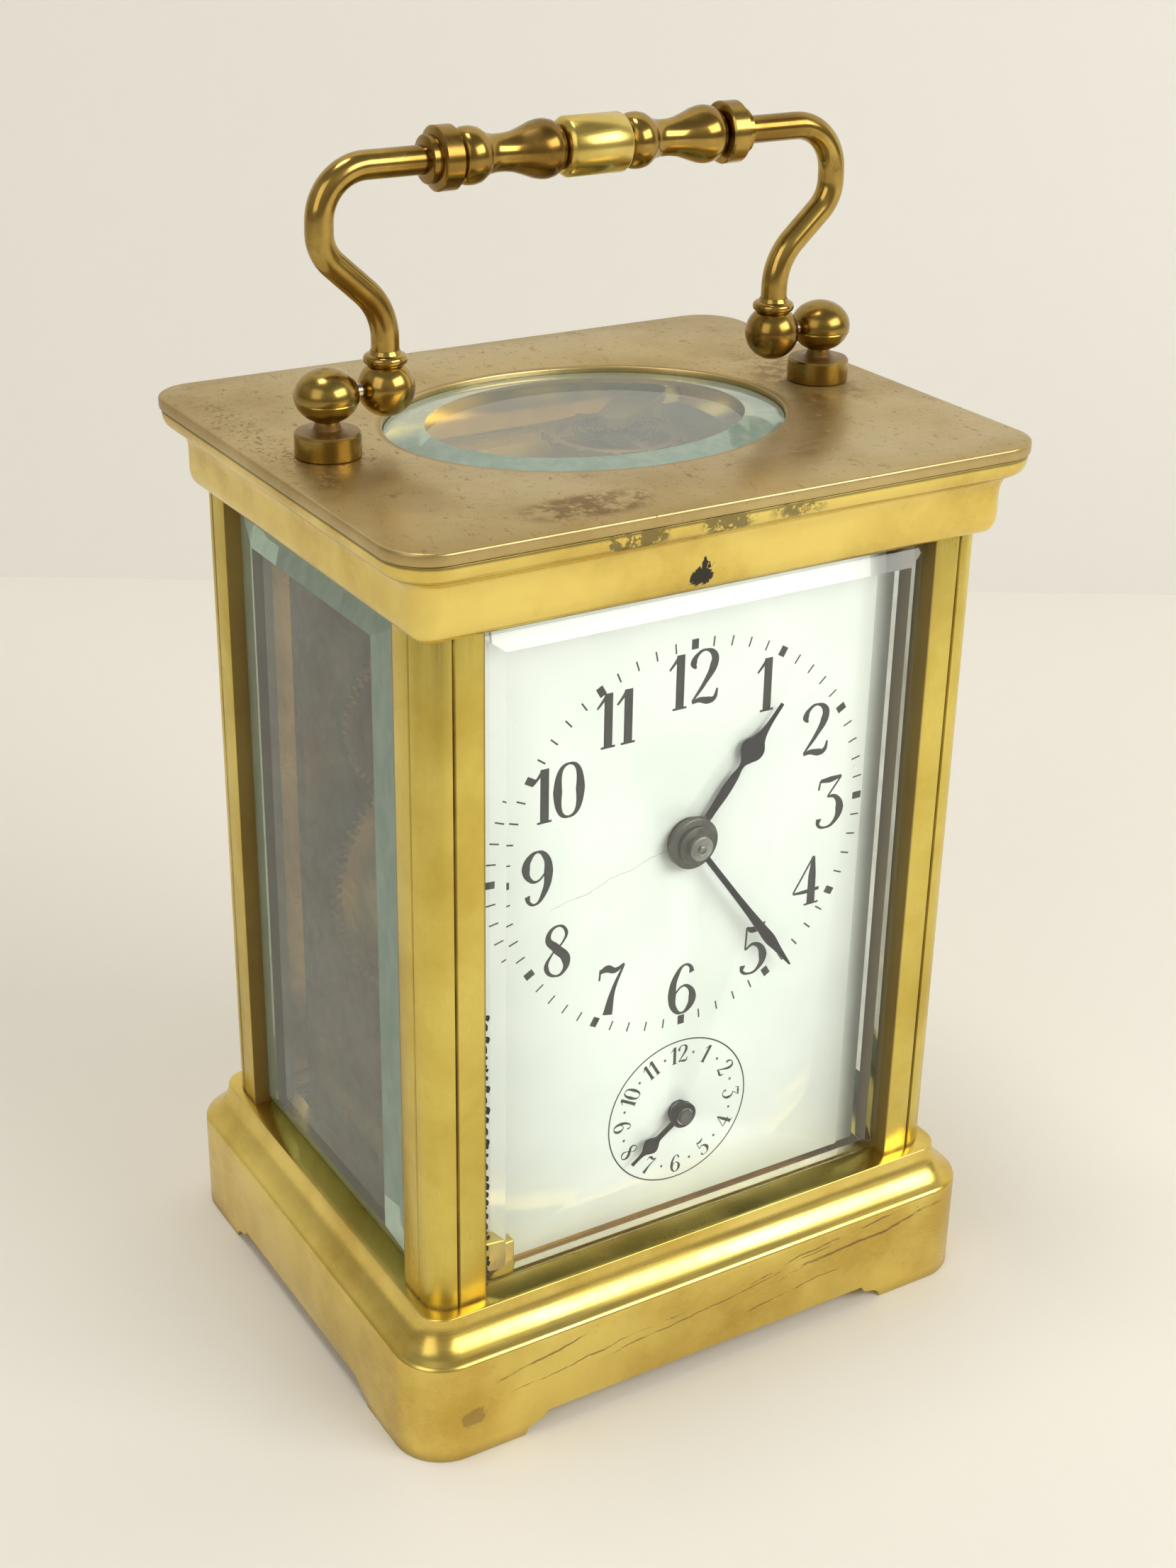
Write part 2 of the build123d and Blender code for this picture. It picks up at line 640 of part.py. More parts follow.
# going train
centre_pinion_phase = mesh_phase(
    0.0, going_teeth, centre_pinion_teeth, bearing_of(going_x, going_z, 0, hands_z)
)
third_pinion_phase = mesh_phase(
    0.0, centre_teeth, third_pinion_teeth, bearing_of(0, hands_z, third_x, third_z)
)
contrate_pinion_phase = mesh_phase(
    0.0, third_teeth, contrate_pinion_teeth, bearing_of(third_x, third_z, contrate_x, contrate_z)
)
alarm_pinion_phase = mesh_phase(
    0.0,
    alarm_great_teeth,
    alarm_pinion_teeth,
    bearing_of(alarm_barrel_x, alarm_barrel_z, alarm_escape_x, alarm_escape_z),
)

# ---------------------------------------------------------------- movement frame
pillar_places = [(x, z) for x in (-23.8, 23.8) for z in (18.5, 92.5)]
arbor_radius, pivot_radius, winding_radius, centre_radius = 0.8, 0.45, 1.6, 0.9
escape_x, escape_y = contrate_x, 0.54

with BuildPart() as front_plate:
    with BuildSketch(facing(front_plate_inner)):
        with Locations((0, (web_top + movement_top) / 2)):
            Rectangle(plate_width, movement_top - web_top)
        with Locations(*pillar_places):
            Circle(1.1, mode=Mode.SUBTRACT)
        with Locations(*dial_feet_places):
            Circle(0.6, mode=Mode.SUBTRACT)
        with Locations((0, hands_z), (0, alarm_z)):
            Circle(1.2, mode=Mode.SUBTRACT)
        with Locations((going_x, going_z), (alarm_barrel_x, alarm_barrel_z)):
            Circle(winding_radius + running_gap, mode=Mode.SUBTRACT)
        with Locations(
            (third_x, third_z),
            (contrate_x, contrate_z),
            (alarm_escape_x, alarm_escape_z),
            (hammer_x, hammer_z),
        ):
            Circle(pivot_radius + running_gap, mode=Mode.SUBTRACT)
    extrude(amount=front_plate_thickness)
    # studs for the minute wheel and the alarm idler
    disc(minute_x, minute_z, 1.0, front_plate_y, -21.0)
    disc(idler_x, idler_z, 1.0, front_plate_y, -21.0)
    for x in (-foot_screw_x, foot_screw_x):
        post(x, plate_middles[0], foot_screw_radius, web_top, web_top + 4, mode=Mode.SUBTRACT)
save(front_plate, "movement_front_plate")

click_distance, click_bearing = 8.8, 150.0
clicks = {
    "going": (going_x, going_z, click_bearing),
    "alarm": (alarm_barrel_x, alarm_barrel_z, 30.0),
}
with BuildPart() as back_plate:
    with BuildSketch(facing(back_plate_y)):
        with Locations((0, (web_top + movement_top) / 2)):
            Rectangle(plate_width, movement_top - web_top)
        with Locations(*pillar_places):
            Circle(1.1, mode=Mode.SUBTRACT)
        with Locations((going_x, going_z), (alarm_barrel_x, alarm_barrel_z)):
            Circle(winding_radius + running_gap, mode=Mode.SUBTRACT)
        with Locations((0, hands_z)):
            Circle(centre_radius + running_gap, mode=Mode.SUBTRACT)
        with Locations((0, alarm_z), (hammer_x, hammer_z)):
            Circle(1.1 + running_gap, mode=Mode.SUBTRACT)
        with Locations((third_x, third_z), (contrate_x, contrate_z), (alarm_escape_x, alarm_escape_z)):
            Circle(pivot_radius + running_gap, mode=Mode.SUBTRACT)
    extrude(amount=back_plate_thickness)
    # studs that the two clicks turn on
    for x, z, bearing in clicks.values():
        dx, dz = polar(click_distance, bearing)
        disc(x + dx, z + dz, 0.7, 20.2, back_plate_y)
    for x in (-foot_screw_x, foot_screw_x):
        post(x, plate_middles[1], foot_screw_radius, web_top, web_top + 4, mode=Mode.SUBTRACT)
save(back_plate, "movement_back_plate")

with BuildPart() as movement_pillars:
    for x, z in pillar_places:
        disc(x, z, 2.0, back_plate_inner, front_plate_inner)
        for y in (back_plate_inner - 4, 1.5, front_plate_inner + 5):
            disc(x, z, 2.5, y, y - 1.0)
        disc(x, z, 1.1, back_plate_y + 1.2, front_plate_y - 1.2)
save(movement_pillars, "movement_pillars")

with BuildPart() as pillar_nuts:
    for x, z in pillar_places:
        for y in (back_plate_y + 1.3, front_plate_y):
            with BuildSketch(facing(y)) as face:
                with Locations((x, z)):
                    RegularPolygon(2.2, 6)
                    Circle(1.1, mode=Mode.SUBTRACT)
            extrude(face.sketch, amount=1.3)
save(pillar_nuts, "pillar_nuts")

# ---------------------------------------------------------------- going train
great_y, great_thickness = 11.2, 1.4
drum_front, drum_radius = -2.0, 16.2
with BuildPart() as going_barrel:
    gear(going_x, going_z, going_teeth, going_module, 0.0, great_y, great_y - great_thickness)
    disc(going_x, going_z, drum_radius, great_y - great_thickness, drum_front)
    disc(going_x, going_z, drum_radius - 0.9, great_y - great_thickness, drum_front + 1.0, mode=Mode.SUBTRACT)
    disc(going_x, going_z, 3.0, great_y + 0.8, great_y)
    disc(going_x, going_z, winding_radius + running_gap, 14, -4, mode=Mode.SUBTRACT)
save(going_barrel, "going_barrel")

with BuildPart() as going_mainspring:
    toothed(
        spiral_points(4.2, drum_radius - 1.3, 9, 0.5, 0.0),
        facing(great_y - great_thickness - 0.3),
        great_y - great_thickness - drum_front - 1.8,
        (going_x, going_z),
    )
save(going_mainspring, "going_mainspring")


def winding_arbor(x, z, hub_front):
    """Arbor with its ratchet wheel outside the back plate and a square for the key."""
    disc(x, z, winding_radius, back_plate_y + 0.1, front_plate_y)
    disc(x, z, 2.6, hub_front + 8.0, hub_front + 1.4)
    toothed(saw_points(20, 5.2, 6.1), facing(back_plate_y + 1.2), 1.0, (x, z))
    disc(x, z, 2.4, back_plate_y + 2.0, back_plate_y + 1.2)
    squared(x, z, 2.3, 24.6, back_plate_y + 2.0)
    disc(x, z, winding_radius, back_plate_y + 0.3, back_plate_y)


with BuildPart() as going_winding_arbor:
    winding_arbor(going_x, going_z, drum_front)
save(going_winding_arbor, "going_winding_arbor")

with BuildPart() as centre_wheel:
    gear(0, hands_z, centre_teeth, train_module, 0.0, -9.8, -11.0)
    cross_out(0, hands_z, 2.6, 9.6, 1.5, -9.8, -11.0)
    gear(0, hands_z, centre_pinion_teeth, going_module, centre_pinion_phase, 11.9, 9.2)
    disc(0, hands_z, 1.4, 9.2, -9.8)
    disc(0, hands_z, centre_radius + running_gap, 20, -20, mode=Mode.SUBTRACT)
save(centre_wheel, "centre_wheel")


def pivoted_arbor(x, z):
    """An arbor between the plates, with a thin pivot in each."""
    disc(x, z, arbor_radius, back_plate_inner - 0.1, front_plate_inner + 0.1)
    disc(x, z, pivot_radius, back_plate_y, back_plate_inner - 0.1)
    disc(x, z, pivot_radius, front_plate_inner + 0.1, front_plate_y)


with BuildPart() as third_wheel:
    pivoted_arbor(third_x, third_z)
    gear(third_x, third_z, third_pinion_teeth, train_module, third_pinion_phase, -9.3, -11.6)
    gear(third_x, third_z, third_teeth, train_module, 0.0, 14.4, 13.2)
    cross_out(third_x, third_z, 2.4, 9.0, 1.4, 14.4, 13.2)
save(third_wheel, "third_wheel")

contrate_radius = contrate_module * contrate_teeth / 2
with BuildPart() as contrate_wheel:
    pivoted_arbor(contrate_x, contrate_z)
    gear(contrate_x, contrate_z, contrate_pinion_teeth, train_module, contrate_pinion_phase, 14.9, 12.7)
    disc(contrate_x, contrate_z, contrate_radius + 0.6, 5.0, 2.6)
    disc(contrate_x, contrate_z, contrate_radius - 0.6, 4.0, 2.6, mode=Mode.SUBTRACT)
    disc(contrate_x, contrate_z, arbor_radius, 5.0, 2.6)
    cross_out(contrate_x, contrate_z, 2.2, 8.0, 1.4, 5.0, 4.0)
    with BuildSketch(facing(2.7)):
        with Locations((contrate_x, contrate_z)):
            with PolarLocations(contrate_radius, contrate_teeth, start_angle=90):
                Rectangle(1.2, 0.5)
    extrude(amount=1.3)
save(contrate_wheel, "contrate_wheel")

escape_pinion_low, escape_pinion_high = contrate_z + contrate_radius - 1.0, contrate_z + contrate_radius + 1.2
escape_teeth = 15
with BuildPart() as escape_wheel:
    post(escape_x, escape_y, 0.5, escape_pinion_low, platform_top + 1.4)
    toothed(
        tooth_points(escape_pinion_teeth, contrate_module, 60.0),
        Plane.XY.offset(escape_pinion_low),
        escape_pinion_high - escape_pinion_low,
        (escape_x, escape_y),
    )
    toothed(
        saw_points(escape_teeth, 3.1, 4.1),
        Plane.XY.offset(platform_top + 0.8),
        0.45,
        (escape_x, escape_y),
    )
save(escape_wheel, "escape_wheel")

# ---------------------------------------------------------------- platform escapement
lever_reach = 5.9
balance_distance = hypot(balance_x - escape_x, balance_y - escape_y)
along_x = (balance_x - escape_x) / balance_distance
along_y = (balance_y - escape_y) / balance_distance
lever_x = escape_x + lever_reach * along_x
lever_y = escape_y + lever_reach * along_y
lever_z = platform_top + 0.8
cock_foot_x, cock_foot_y = 18.0, 16.1
escape_foot_x, escape_foot_y = -9.6, 8.2
stud_radius, stud_bearing = 5.9, degrees(acos(along_x))

with BuildPart() as platform:
    with BuildSketch(Plane.XY.offset(movement_top)):
        with Locations((5.0, (front_plate_y + back_plate_y) / 2)):
            RectangleRounded(38.0, back_plate_y - front_plate_y, 2.0)
        with Locations((escape_x, escape_y)):
            Circle(0.5 + running_gap, mode=Mode.SUBTRACT)
        with Locations((lever_x, lever_y), (balance_x, balance_y)):
            Circle(0.35 + running_gap, mode=Mode.SUBTRACT)
    extrude(amount=platform_thickness)
save(platform, "platform")

with BuildPart() as lever:
    lever_plane = Plane(origin=(lever_x, lever_y, lever_z), x_dir=(along_x, along_y, 0), z_dir=(0, 0, 1))
    with BuildSketch(lever_plane):
        with Locations((3.3, 0)):
            Rectangle(7.6, 0.9)
        with Locations((-0.7, 0)):
            Rectangle(0.9, 6.4)
        with Locations((-1.6, 2.85), (-1.6, -2.85)):
            Rectangle(1.2, 0.6)
        with Locations((7.0, 0)):
            Rectangle(0.9, 2.2)
        with Locations((7.2, 0)):
            Rectangle(0.8, 0.7, mode=Mode.SUBTRACT)
        Circle(0.9)
    extrude(amount=0.45)
    post(lever_x, lever_y, 0.35, movement_top + 0.2, lever_z)
save(lever, "pallet_lever")

balance_z = platform_top + 2.4
with BuildPart() as balance:
    with BuildSketch(Plane.XY.offset(balance_z)):
        with Locations((balance_x, balance_y)):
            Circle(8.0)
            Circle(7.0, mode=Mode.SUBTRACT)
            Rectangle(15, 1.1, rotation=stud_bearing + 60)
            Circle(1.5)
            with PolarLocations(8.2, 12):
                Circle(0.45)
    extrude(amount=0.9)
    post(balance_x, balance_y, 0.35, movement_top + 0.2, platform_top + 4.3)
    post(balance_x, balance_y, 2.0, platform_top + 1.5, platform_top + 1.9)
    post(balance_x, balance_y, 0.8, platform_top + 1.9, platform_top + 3.6)
save(balance, "balance_wheel")

with BuildPart() as hairspring:
    toothed(
        spiral_points(1.1, 5.4, 8, 0.14, stud_bearing),
        Plane.XY.offset(platform_top + 3.55),
        0.3,
        (balance_x, balance_y),
    )
save(hairspring, "hairspring")

cock_z = platform_top + 4.3
with BuildPart() as balance_cock:
    with BuildSketch(Plane.XY.offset(cock_z)) as arm:
        with BuildLine():
            with Locations((balance_x, balance_y)):
                CenterArc((balance_x, balance_y), 2.0, 0, 360)
            CenterArc((cock_foot_x, cock_foot_y), 2.6, 0, 360)
        make_hull()
    extrude(amount=1.2)
    post(cock_foot_x, cock_foot_y, 2.3, platform_top, cock_z)
    dx, dy = polar(stud_radius, stud_bearing)
    post(balance_x + dx, balance_y + dy, 0.35, cock_z - 1.0, cock_z)
save(balance_cock, "balance_cock")

with BuildPart() as escape_cock:
    with BuildSketch(Plane.XY.offset(platform_top + 1.5)):
        with BuildLine():
            CenterArc((escape_x, escape_y), 1.5, 0, 360)
            CenterArc((escape_foot_x, escape_foot_y), 2.4, 0, 360)
        make_hull()
    extrude(amount=0.7)
    post(escape_foot_x, escape_foot_y, 2.2, platform_top, platform_top + 1.5)
save(escape_cock, "escape_cock")

# ---------------------------------------------------------------- hands and motion work
with BuildPart() as centre_arbor:
    disc(0, hands_z, centre_radius, 20.4, -25.0)
    squared(0, hands_z, 2.3, 24.6, 20.4)
save(centre_arbor, "centre_arbor")

with BuildPart() as cannon_pinion:
    gear(0, hands_z, cannon_teeth, cannon_module, cannon_phase, -17.0, -19.0)
    disc(0, hands_z, 1.5, -19.0, -24.9)
    disc(0, hands_z, centre_radius, -16, -26, mode=Mode.SUBTRACT)
save(cannon_pinion, "cannon_pinion")

with BuildPart() as minute_wheel:
    gear(minute_x, minute_z, minute_teeth, cannon_module, minute_phase, -17.5, -18.5)
    gear(minute_x, minute_z, minute_pinion_teeth, hour_module, minute_pinion_phase, -18.5, -20.7)
    disc(minute_x, minute_z, 1.0 + running_gap, -16, -22, mode=Mode.SUBTRACT)
save(minute_wheel, "minute_wheel")

with BuildPart() as hour_wheel:
    gear(0, hands_z, hour_teeth, hour_module, hour_phase, -19.4, -20.4)
    disc(0, hands_z, 2.4, -20.4, -23.9)
    disc(0, hands_z, 1.5 + running_gap, -19, -25, mode=Mode.SUBTRACT)
save(hour_wheel, "hour_wheel")

with BuildPart() as alarm_idler:
    gear(idler_x, idler_z, idler_teeth, hour_module, idler_phase, -19.4, -20.4)
    disc(idler_x, idler_z, 1.0 + running_gap, -19, -22, mode=Mode.SUBTRACT)
save(alarm_idler, "alarm_idler")

with BuildPart() as alarm_wheel:
    gear(0, alarm_z, hour_teeth, hour_module, alarm_phase, -19.4, -20.4)
    disc(0, alarm_z, 2.4, -18.4, -19.4)
    disc(0, alarm_z, 1.1 + running_gap, -18, -22, mode=Mode.SUBTRACT)
save(alarm_wheel, "alarm_wheel")


def hand(x, z, bearing, boss, bore, stations, y_back, y_front):
    """A flat hand: stations are (distance, half width) along it. Bearing is clockwise from 12."""
    plane = Plane(
        origin=(x, y_back, z),
        x_dir=(sin(radians(bearing)), 0, cos(radians(bearing))),
        z_dir=(0, -1, 0),
    )
    outline = stations + [(along, -half) for along, half in reversed(stations) if half > 0]
    with BuildSketch(plane) as face:
        with BuildLine():
            Polyline(outline, close=True)
        make_face()
        Circle(boss)
        Circle(bore, mode=Mode.SUBTRACT)
    extrude(face.sketch, amount=y_back - y_front)


hour_bearing, minute_bearing, alarm_bearing = 36.0, 144.0, 234.0
with BuildPart() as hour_hand:
    hand(
        0,
        hands_z,
        hour_bearing,
        3.1,
        2.4,
        [
            (0, 0.75),
            (4, 0.6),
            (7, 0.75),
            (9.6, 1.1),
            (11.0, 1.9),
            (12.0, 1.9),
            (13.2, 0.95),
            (14.5, 0.5),
            (18.4, 0.0),
        ],
        -23.35,
        -23.75,
    )
save(hour_hand, "hour_hand")

with BuildPart() as minute_hand:
    hand(
        0,
        hands_z,
        minute_bearing,
        2.5,
        1.5,
        [(0, 0.6), (4, 0.45), (17.5, 0.85), (18.6, 1.0), (19.6, 0.6), (23.0, 0.0)],
        -24.4,
        -24.8,
    )
save(minute_hand, "minute_hand")

with BuildPart() as hand_collet:
    disc(0, hands_z, 1.8, -24.8, -25.2)
    disc(0, hands_z, 1.3, -25.2, -25.45)
    disc(0, hands_z, 1.5, -24.7, -24.9, mode=Mode.SUBTRACT)
    disc(0, hands_z, centre_radius, -24.7, -25.0, mode=Mode.SUBTRACT)
save(hand_collet, "hand_collet")

# ---------------------------------------------------------------- alarm work
with BuildPart() as alarm_arbor:
    disc(0, alarm_z, 1.1, 20.4, -24.4)
    squared(0, alarm_z, 2.0, 24.6, 20.4)
save(alarm_arbor, "alarm_setting_arbor")

with BuildPart() as alarm_hand:
    hand(
        0,
        alarm_z,
        alarm_bearing,
        2.2,
        1.1,
        [(0, 0.5), (3.2, 0.4), (4.6, 0.55), (5.6, 1.05), (6.2, 1.0), (6.9, 0.45), (8.4, 0.0)],
        -23.6,
        -24.0,
    )
save(alarm_hand, "alarm_hand")

alarm_drum_back, alarm_drum_front, alarm_drum_radius = 1.0, -7.8, 9.0
with BuildPart() as alarm_barrel:
    gear(alarm_barrel_x, alarm_barrel_z, alarm_great_teeth, alarm_module, 0.0, -7.8, -9.0)
    disc(alarm_barrel_x, alarm_barrel_z, alarm_drum_radius, alarm_drum_back, alarm_drum_front)
    disc(alarm_barrel_x, alarm_barrel_z, winding_radius + running_gap, 3, -11, mode=Mode.SUBTRACT)
save(alarm_barrel, "alarm_barrel")

with BuildPart() as alarm_winding_arbor:
    winding_arbor(alarm_barrel_x, alarm_barrel_z, alarm_drum_back)
save(alarm_winding_arbor, "alarm_winding_arbor")

with BuildPart() as alarm_escape:
    pivoted_arbor(alarm_escape_x, alarm_escape_z)
    gear(
        alarm_escape_x,
        alarm_escape_z,
        alarm_pinion_teeth,
        alarm_module,
        alarm_pinion_phase,
        -7.4,
        -9.4,
    )
    toothed(saw_points(16, 2.7, 3.6), facing(6.0), 1.0, (alarm_escape_x, alarm_escape_z))
save(alarm_escape, "alarm_escape_wheel")

gong_x, gong_z = 0.0, 45.0
gong_y = 22.0
head_x, head_z = hammer_x, gong_z - 22.3 * sin(radians(38))
with BuildPart() as alarm_hammer:
    disc(hammer_x, hammer_z, 1.1, gong_y, back_plate_inner)
    disc(hammer_x, hammer_z, arbor_radius, back_plate_inner, front_plate_inner + 0.1)
    disc(hammer_x, hammer_z, pivot_radius, front_plate_inner + 0.1, front_plate_y)
    with BuildSketch(facing(gong_y)):
        with Locations((hammer_x, (hammer_z + head_z) / 2)):
            Rectangle(1.2, head_z - hammer_z)
        with Locations((hammer_x, hammer_z)):
            Circle(1.9)
    extrude(amount=1.1)
    with BuildSketch(facing(gong_y + 0.6)):
        with Locations((head_x, head_z)):
            Circle(1.6)
    extrude(amount=2.2)
    # the pallet arm that the alarm's escape wheel knocks
    with BuildSketch(facing(6.0)):
        with Locations((hammer_x + 0.4, hammer_z + 1.6)):
            Rectangle(1.2, 3.6)
    extrude(amount=1.0)
save(alarm_hammer, "alarm_hammer")

gong_turns, gong_start = 1.6, 55.0
with BuildPart() as gong:
    toothed(spiral_points(16.9, 19.5, gong_turns, 1.1, gong_start), facing(gong_y), 1.1, (gong_x, gong_z))
    # its outer end is brazed into a block that stands on the back plate
    end_x, end_z = polar(20.0, gong_start + gong_turns * 360)
    disc(gong_x + end_x, gong_z + end_z, 1.2, gong_y, back_plate_y)
save(gong, "gong")

for name, (x, z, bearing) in clicks.items():
    dx, dz = polar(click_distance, bearing)
    tip = polar(6.35, bearing + 42)
    with BuildPart() as click:
        with BuildSketch(facing(back_plate_y + 1.1)):
            with BuildLine():
                CenterArc((x + dx, z + dz), 1.5, 0, 360)
                CenterArc((x + tip[0] * 1.06, z + tip[1] * 1.06), 0.35, 0, 360)
            make_hull()
            with Locations((x + dx, z + dz)):
                Circle(0.7 + running_gap, mode=Mode.SUBTRACT)
        extrude(amount=0.8)
    save(click, f"{name}_click")
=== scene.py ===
"""The looks of the brass mantel clock: case, handle, glasses, dial and hands, built round the CAD frame."""

import json
import random
from math import cos, pi, radians, sin

import bpy
from mathutils import Matrix, Vector


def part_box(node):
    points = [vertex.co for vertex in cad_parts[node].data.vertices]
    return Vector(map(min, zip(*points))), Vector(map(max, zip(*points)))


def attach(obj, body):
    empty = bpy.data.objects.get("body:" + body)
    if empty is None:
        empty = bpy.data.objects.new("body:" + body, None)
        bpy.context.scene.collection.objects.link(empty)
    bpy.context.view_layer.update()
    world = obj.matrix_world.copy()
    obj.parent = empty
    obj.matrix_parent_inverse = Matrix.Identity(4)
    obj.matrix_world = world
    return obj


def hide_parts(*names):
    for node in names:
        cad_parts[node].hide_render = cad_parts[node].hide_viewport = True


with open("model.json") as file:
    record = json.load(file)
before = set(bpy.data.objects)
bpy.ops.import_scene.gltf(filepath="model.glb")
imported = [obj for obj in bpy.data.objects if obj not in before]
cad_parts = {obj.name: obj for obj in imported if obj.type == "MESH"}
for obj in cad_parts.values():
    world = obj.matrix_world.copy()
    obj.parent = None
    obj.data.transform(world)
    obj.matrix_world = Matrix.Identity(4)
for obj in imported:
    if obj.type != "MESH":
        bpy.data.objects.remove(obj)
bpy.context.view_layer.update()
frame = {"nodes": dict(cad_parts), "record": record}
MM = 0.001


# ---- shader maths
class Link:
    """A socket's value that can be used in sums."""

    def __init__(self, finish, socket):
        self.finish = finish
        self.socket = socket

    def sum(self, operation, *values):
        return self.finish.node("ShaderNodeMath", {"operation": operation}, values)

    def __add__(self, other):
        return self.sum("ADD", self, other)

    __radd__ = __add__

    def __sub__(self, other):
        return self.sum("SUBTRACT", self, other)

    def __rsub__(self, other):
        return self.sum("SUBTRACT", other, self)

    def __mul__(self, other):
        return self.sum("MULTIPLY", self, other)

    __rmul__ = __mul__

    def __neg__(self):
        return self.sum("MULTIPLY", self, -1.0)

    def least(self, other):
        return self.sum("MINIMUM", self, other)

    def most(self, other):
        return self.sum("MAXIMUM", self, other)

    def size(self):
        return self.sum("ABSOLUTE", self)

    def ramp(self, low, high, to_low=0.0, to_high=1.0):
        """Runs smoothly from to_low to to_high as the value runs from low to high."""
        settings = {"interpolation_type": "SMOOTHSTEP"}
        return self.finish.node("ShaderNodeMapRange", settings, [self, low, high, to_low, to_high])


class Finish:
    """A material under construction."""

    def __init__(self, name):
        self.material = bpy.data.materials.new(name)
        self.material.use_nodes = True
        self.tree = self.material.node_tree
        self.shader = self.tree.nodes["Principled BSDF"]
        self.out = self.tree.nodes["Material Output"]

    def node(self, kind, settings, values, output=0):
        """Adds any node: settings first, then the values or links of its sockets."""
        made = self.tree.nodes.new(kind)
        for key, value in settings.items():
            setattr(made, key, value)
        pairs = values.items() if isinstance(values, dict) else enumerate(values)
        for key, value in pairs:
            self.feed(made.inputs[key], value)
        return Link(self, made.outputs[output])

    def feed(self, socket, value):
        if isinstance(value, Link):
            self.tree.links.new(value.socket, socket)
        else:
            socket.default_value = value

    def set(self, **values):
        """Feeds the Principled shader: base_color=..., roughness=..."""
        for key, value in values.items():
            self.feed(self.shader.inputs[key.replace("_", " ").title().replace("Ior", "IOR")], value)

    def place(self):
        """Object coordinates in millimetres, as x, y and z."""
        place = self.node("ShaderNodeTexCoord", {}, [], "Object")
        self.at = self.node("ShaderNodeVectorMath", {"operation": "SCALE"}, {0: place, "Scale": 1 / MM})
        return [self.node("ShaderNodeSeparateXYZ", {}, [self.at], axis) for axis in "XYZ"]

    def stretched(self, x, y, z):
        return self.node("ShaderNodeVectorMath", {"operation": "MULTIPLY"}, [self.at, (x, y, z)])

    def noise(self, scale, detail=3.0, rough=0.55, stretch=None, seed=0.0):
        """Noise of about one patch per 1/scale mm."""
        where = self.stretched(*stretch) if stretch else self.at
        settings = {"noise_dimensions": "4D"}
        values = {"Vector": where, "W": seed, "Scale": scale, "Detail": detail, "Roughness": rough}
        return self.node("ShaderNodeTexNoise", settings, values)

    def mix(self, factor, first, second):
        """A blend of two colours, which this node keeps at sockets 6 and 7, and at output 2."""
        return self.node("ShaderNodeMix", {"data_type": "RGBA"}, {0: factor, 6: first, 7: second}, 2)

    def bump(self, height, depth_mm, strength=1.0):
        values = {"Strength": strength, "Distance": depth_mm * MM, "Height": height}
        self.feed(self.shader.inputs["Normal"], self.node("ShaderNodeBump", {}, values))


def colour(red, green, blue):
    """A colour given as it looks on a screen, 0 to 255, turned into light."""
    return tuple((c / 255) ** 2.2 for c in (red, green, blue)) + (1.0,)


def brass(name, bright, dull, roughness, grain, stain=0.0, grime_and_shade=None, seed=0.0, speckle=0.0):
    """Brass with a brushed grain, cloudy tarnish, stains, and, where a mask puts them, grimy marks and
    painted shade.
    """
    f = Finish(name)
    x, y, z = f.place()
    cloud = f.noise(0.06, 5.0, 0.6, seed=seed)
    fine = f.noise(0.9, 4.0, 0.65, seed=seed + 3)
    brushed = f.noise(1.0, 2.0, 0.5, stretch=grain, seed=seed + 7)
    tint = f.mix(cloud.ramp(0.35, 0.7), bright, dull)
    tint = f.mix(fine.ramp(0.55, 0.8) * 0.35, tint, dull)
    wear = brushed.ramp(0.3, 0.7)
    rough = roughness + cloud.ramp(0.35, 0.7) * 0.1 + wear * 0.06
    if stain:
        spots = f.noise(0.35, 6.0, 0.7, seed=seed + 11).ramp(0.62, 0.72) * stain
        tint = f.mix(spots, tint, colour(96, 62, 26))
        rough = rough + spots * 0.2
    if speckle:
        dots = f.noise(2.6, 2.0, 0.5, seed=seed + 17).ramp(0.66, 0.74) * speckle
        tint = f.mix(dots, tint, colour(88, 66, 34))
        rough = rough + dots * 0.25
    metal = 1.0
    if grime_and_shade:
        dirt_and_shade, dirt_and_shade_colour = grime_and_shade(f, x, y, z)
        tint = f.mix(dirt_and_shade, tint, dirt_and_shade_colour)
        rough = rough + dirt_and_shade * 0.35
        metal = 1.0 - dirt_and_shade * 0.9
    f.set(base_color=tint, roughness=rough.least(0.9), metallic=metal)
    f.bump(brushed + fine * 0.4, 0.006, 0.5)
    return f.material


def near(value, place, width):
    """1 at a place and 0 a width away."""
    return (value - place).size().ramp(0.0, width, 1.0, 0.0)


# ---- modelling
def deselect():
    if bpy.context.object and bpy.context.object.mode != "OBJECT":
        bpy.ops.object.mode_set(mode="OBJECT")
    bpy.ops.object.select_all(action="DESELECT")


def only(piece):
    deselect()
    piece.select_set(True)
    bpy.context.view_layer.objects.active = piece


def edit_all():
    """Starts editing the active mesh, with all of it selected."""
    bpy.ops.object.mode_set(mode="EDIT")
    bpy.ops.mesh.select_all(action="SELECT")


def extrude(move):
    bpy.ops.mesh.extrude_region_move(TRANSFORM_OT_translate={"value": move})


def added(name, data):
    piece = bpy.data.objects.new(name, data)
    bpy.context.scene.collection.objects.link(piece)
    return piece


def as_mesh(name, curve):
    """Adds a curve and turns it into a mesh."""
    only(added(name, curve))
    bpy.ops.object.convert(target="MESH")
    return bpy.context.object


def started(name):
    """Names the primitive that was just added."""
    piece = bpy.context.object
    piece.name = piece.data.name = name
    return piece


def settle(piece):
    """Puts the piece's place, turn and size into its mesh."""
    only(piece)
    bpy.ops.object.transform_apply()
    return piece


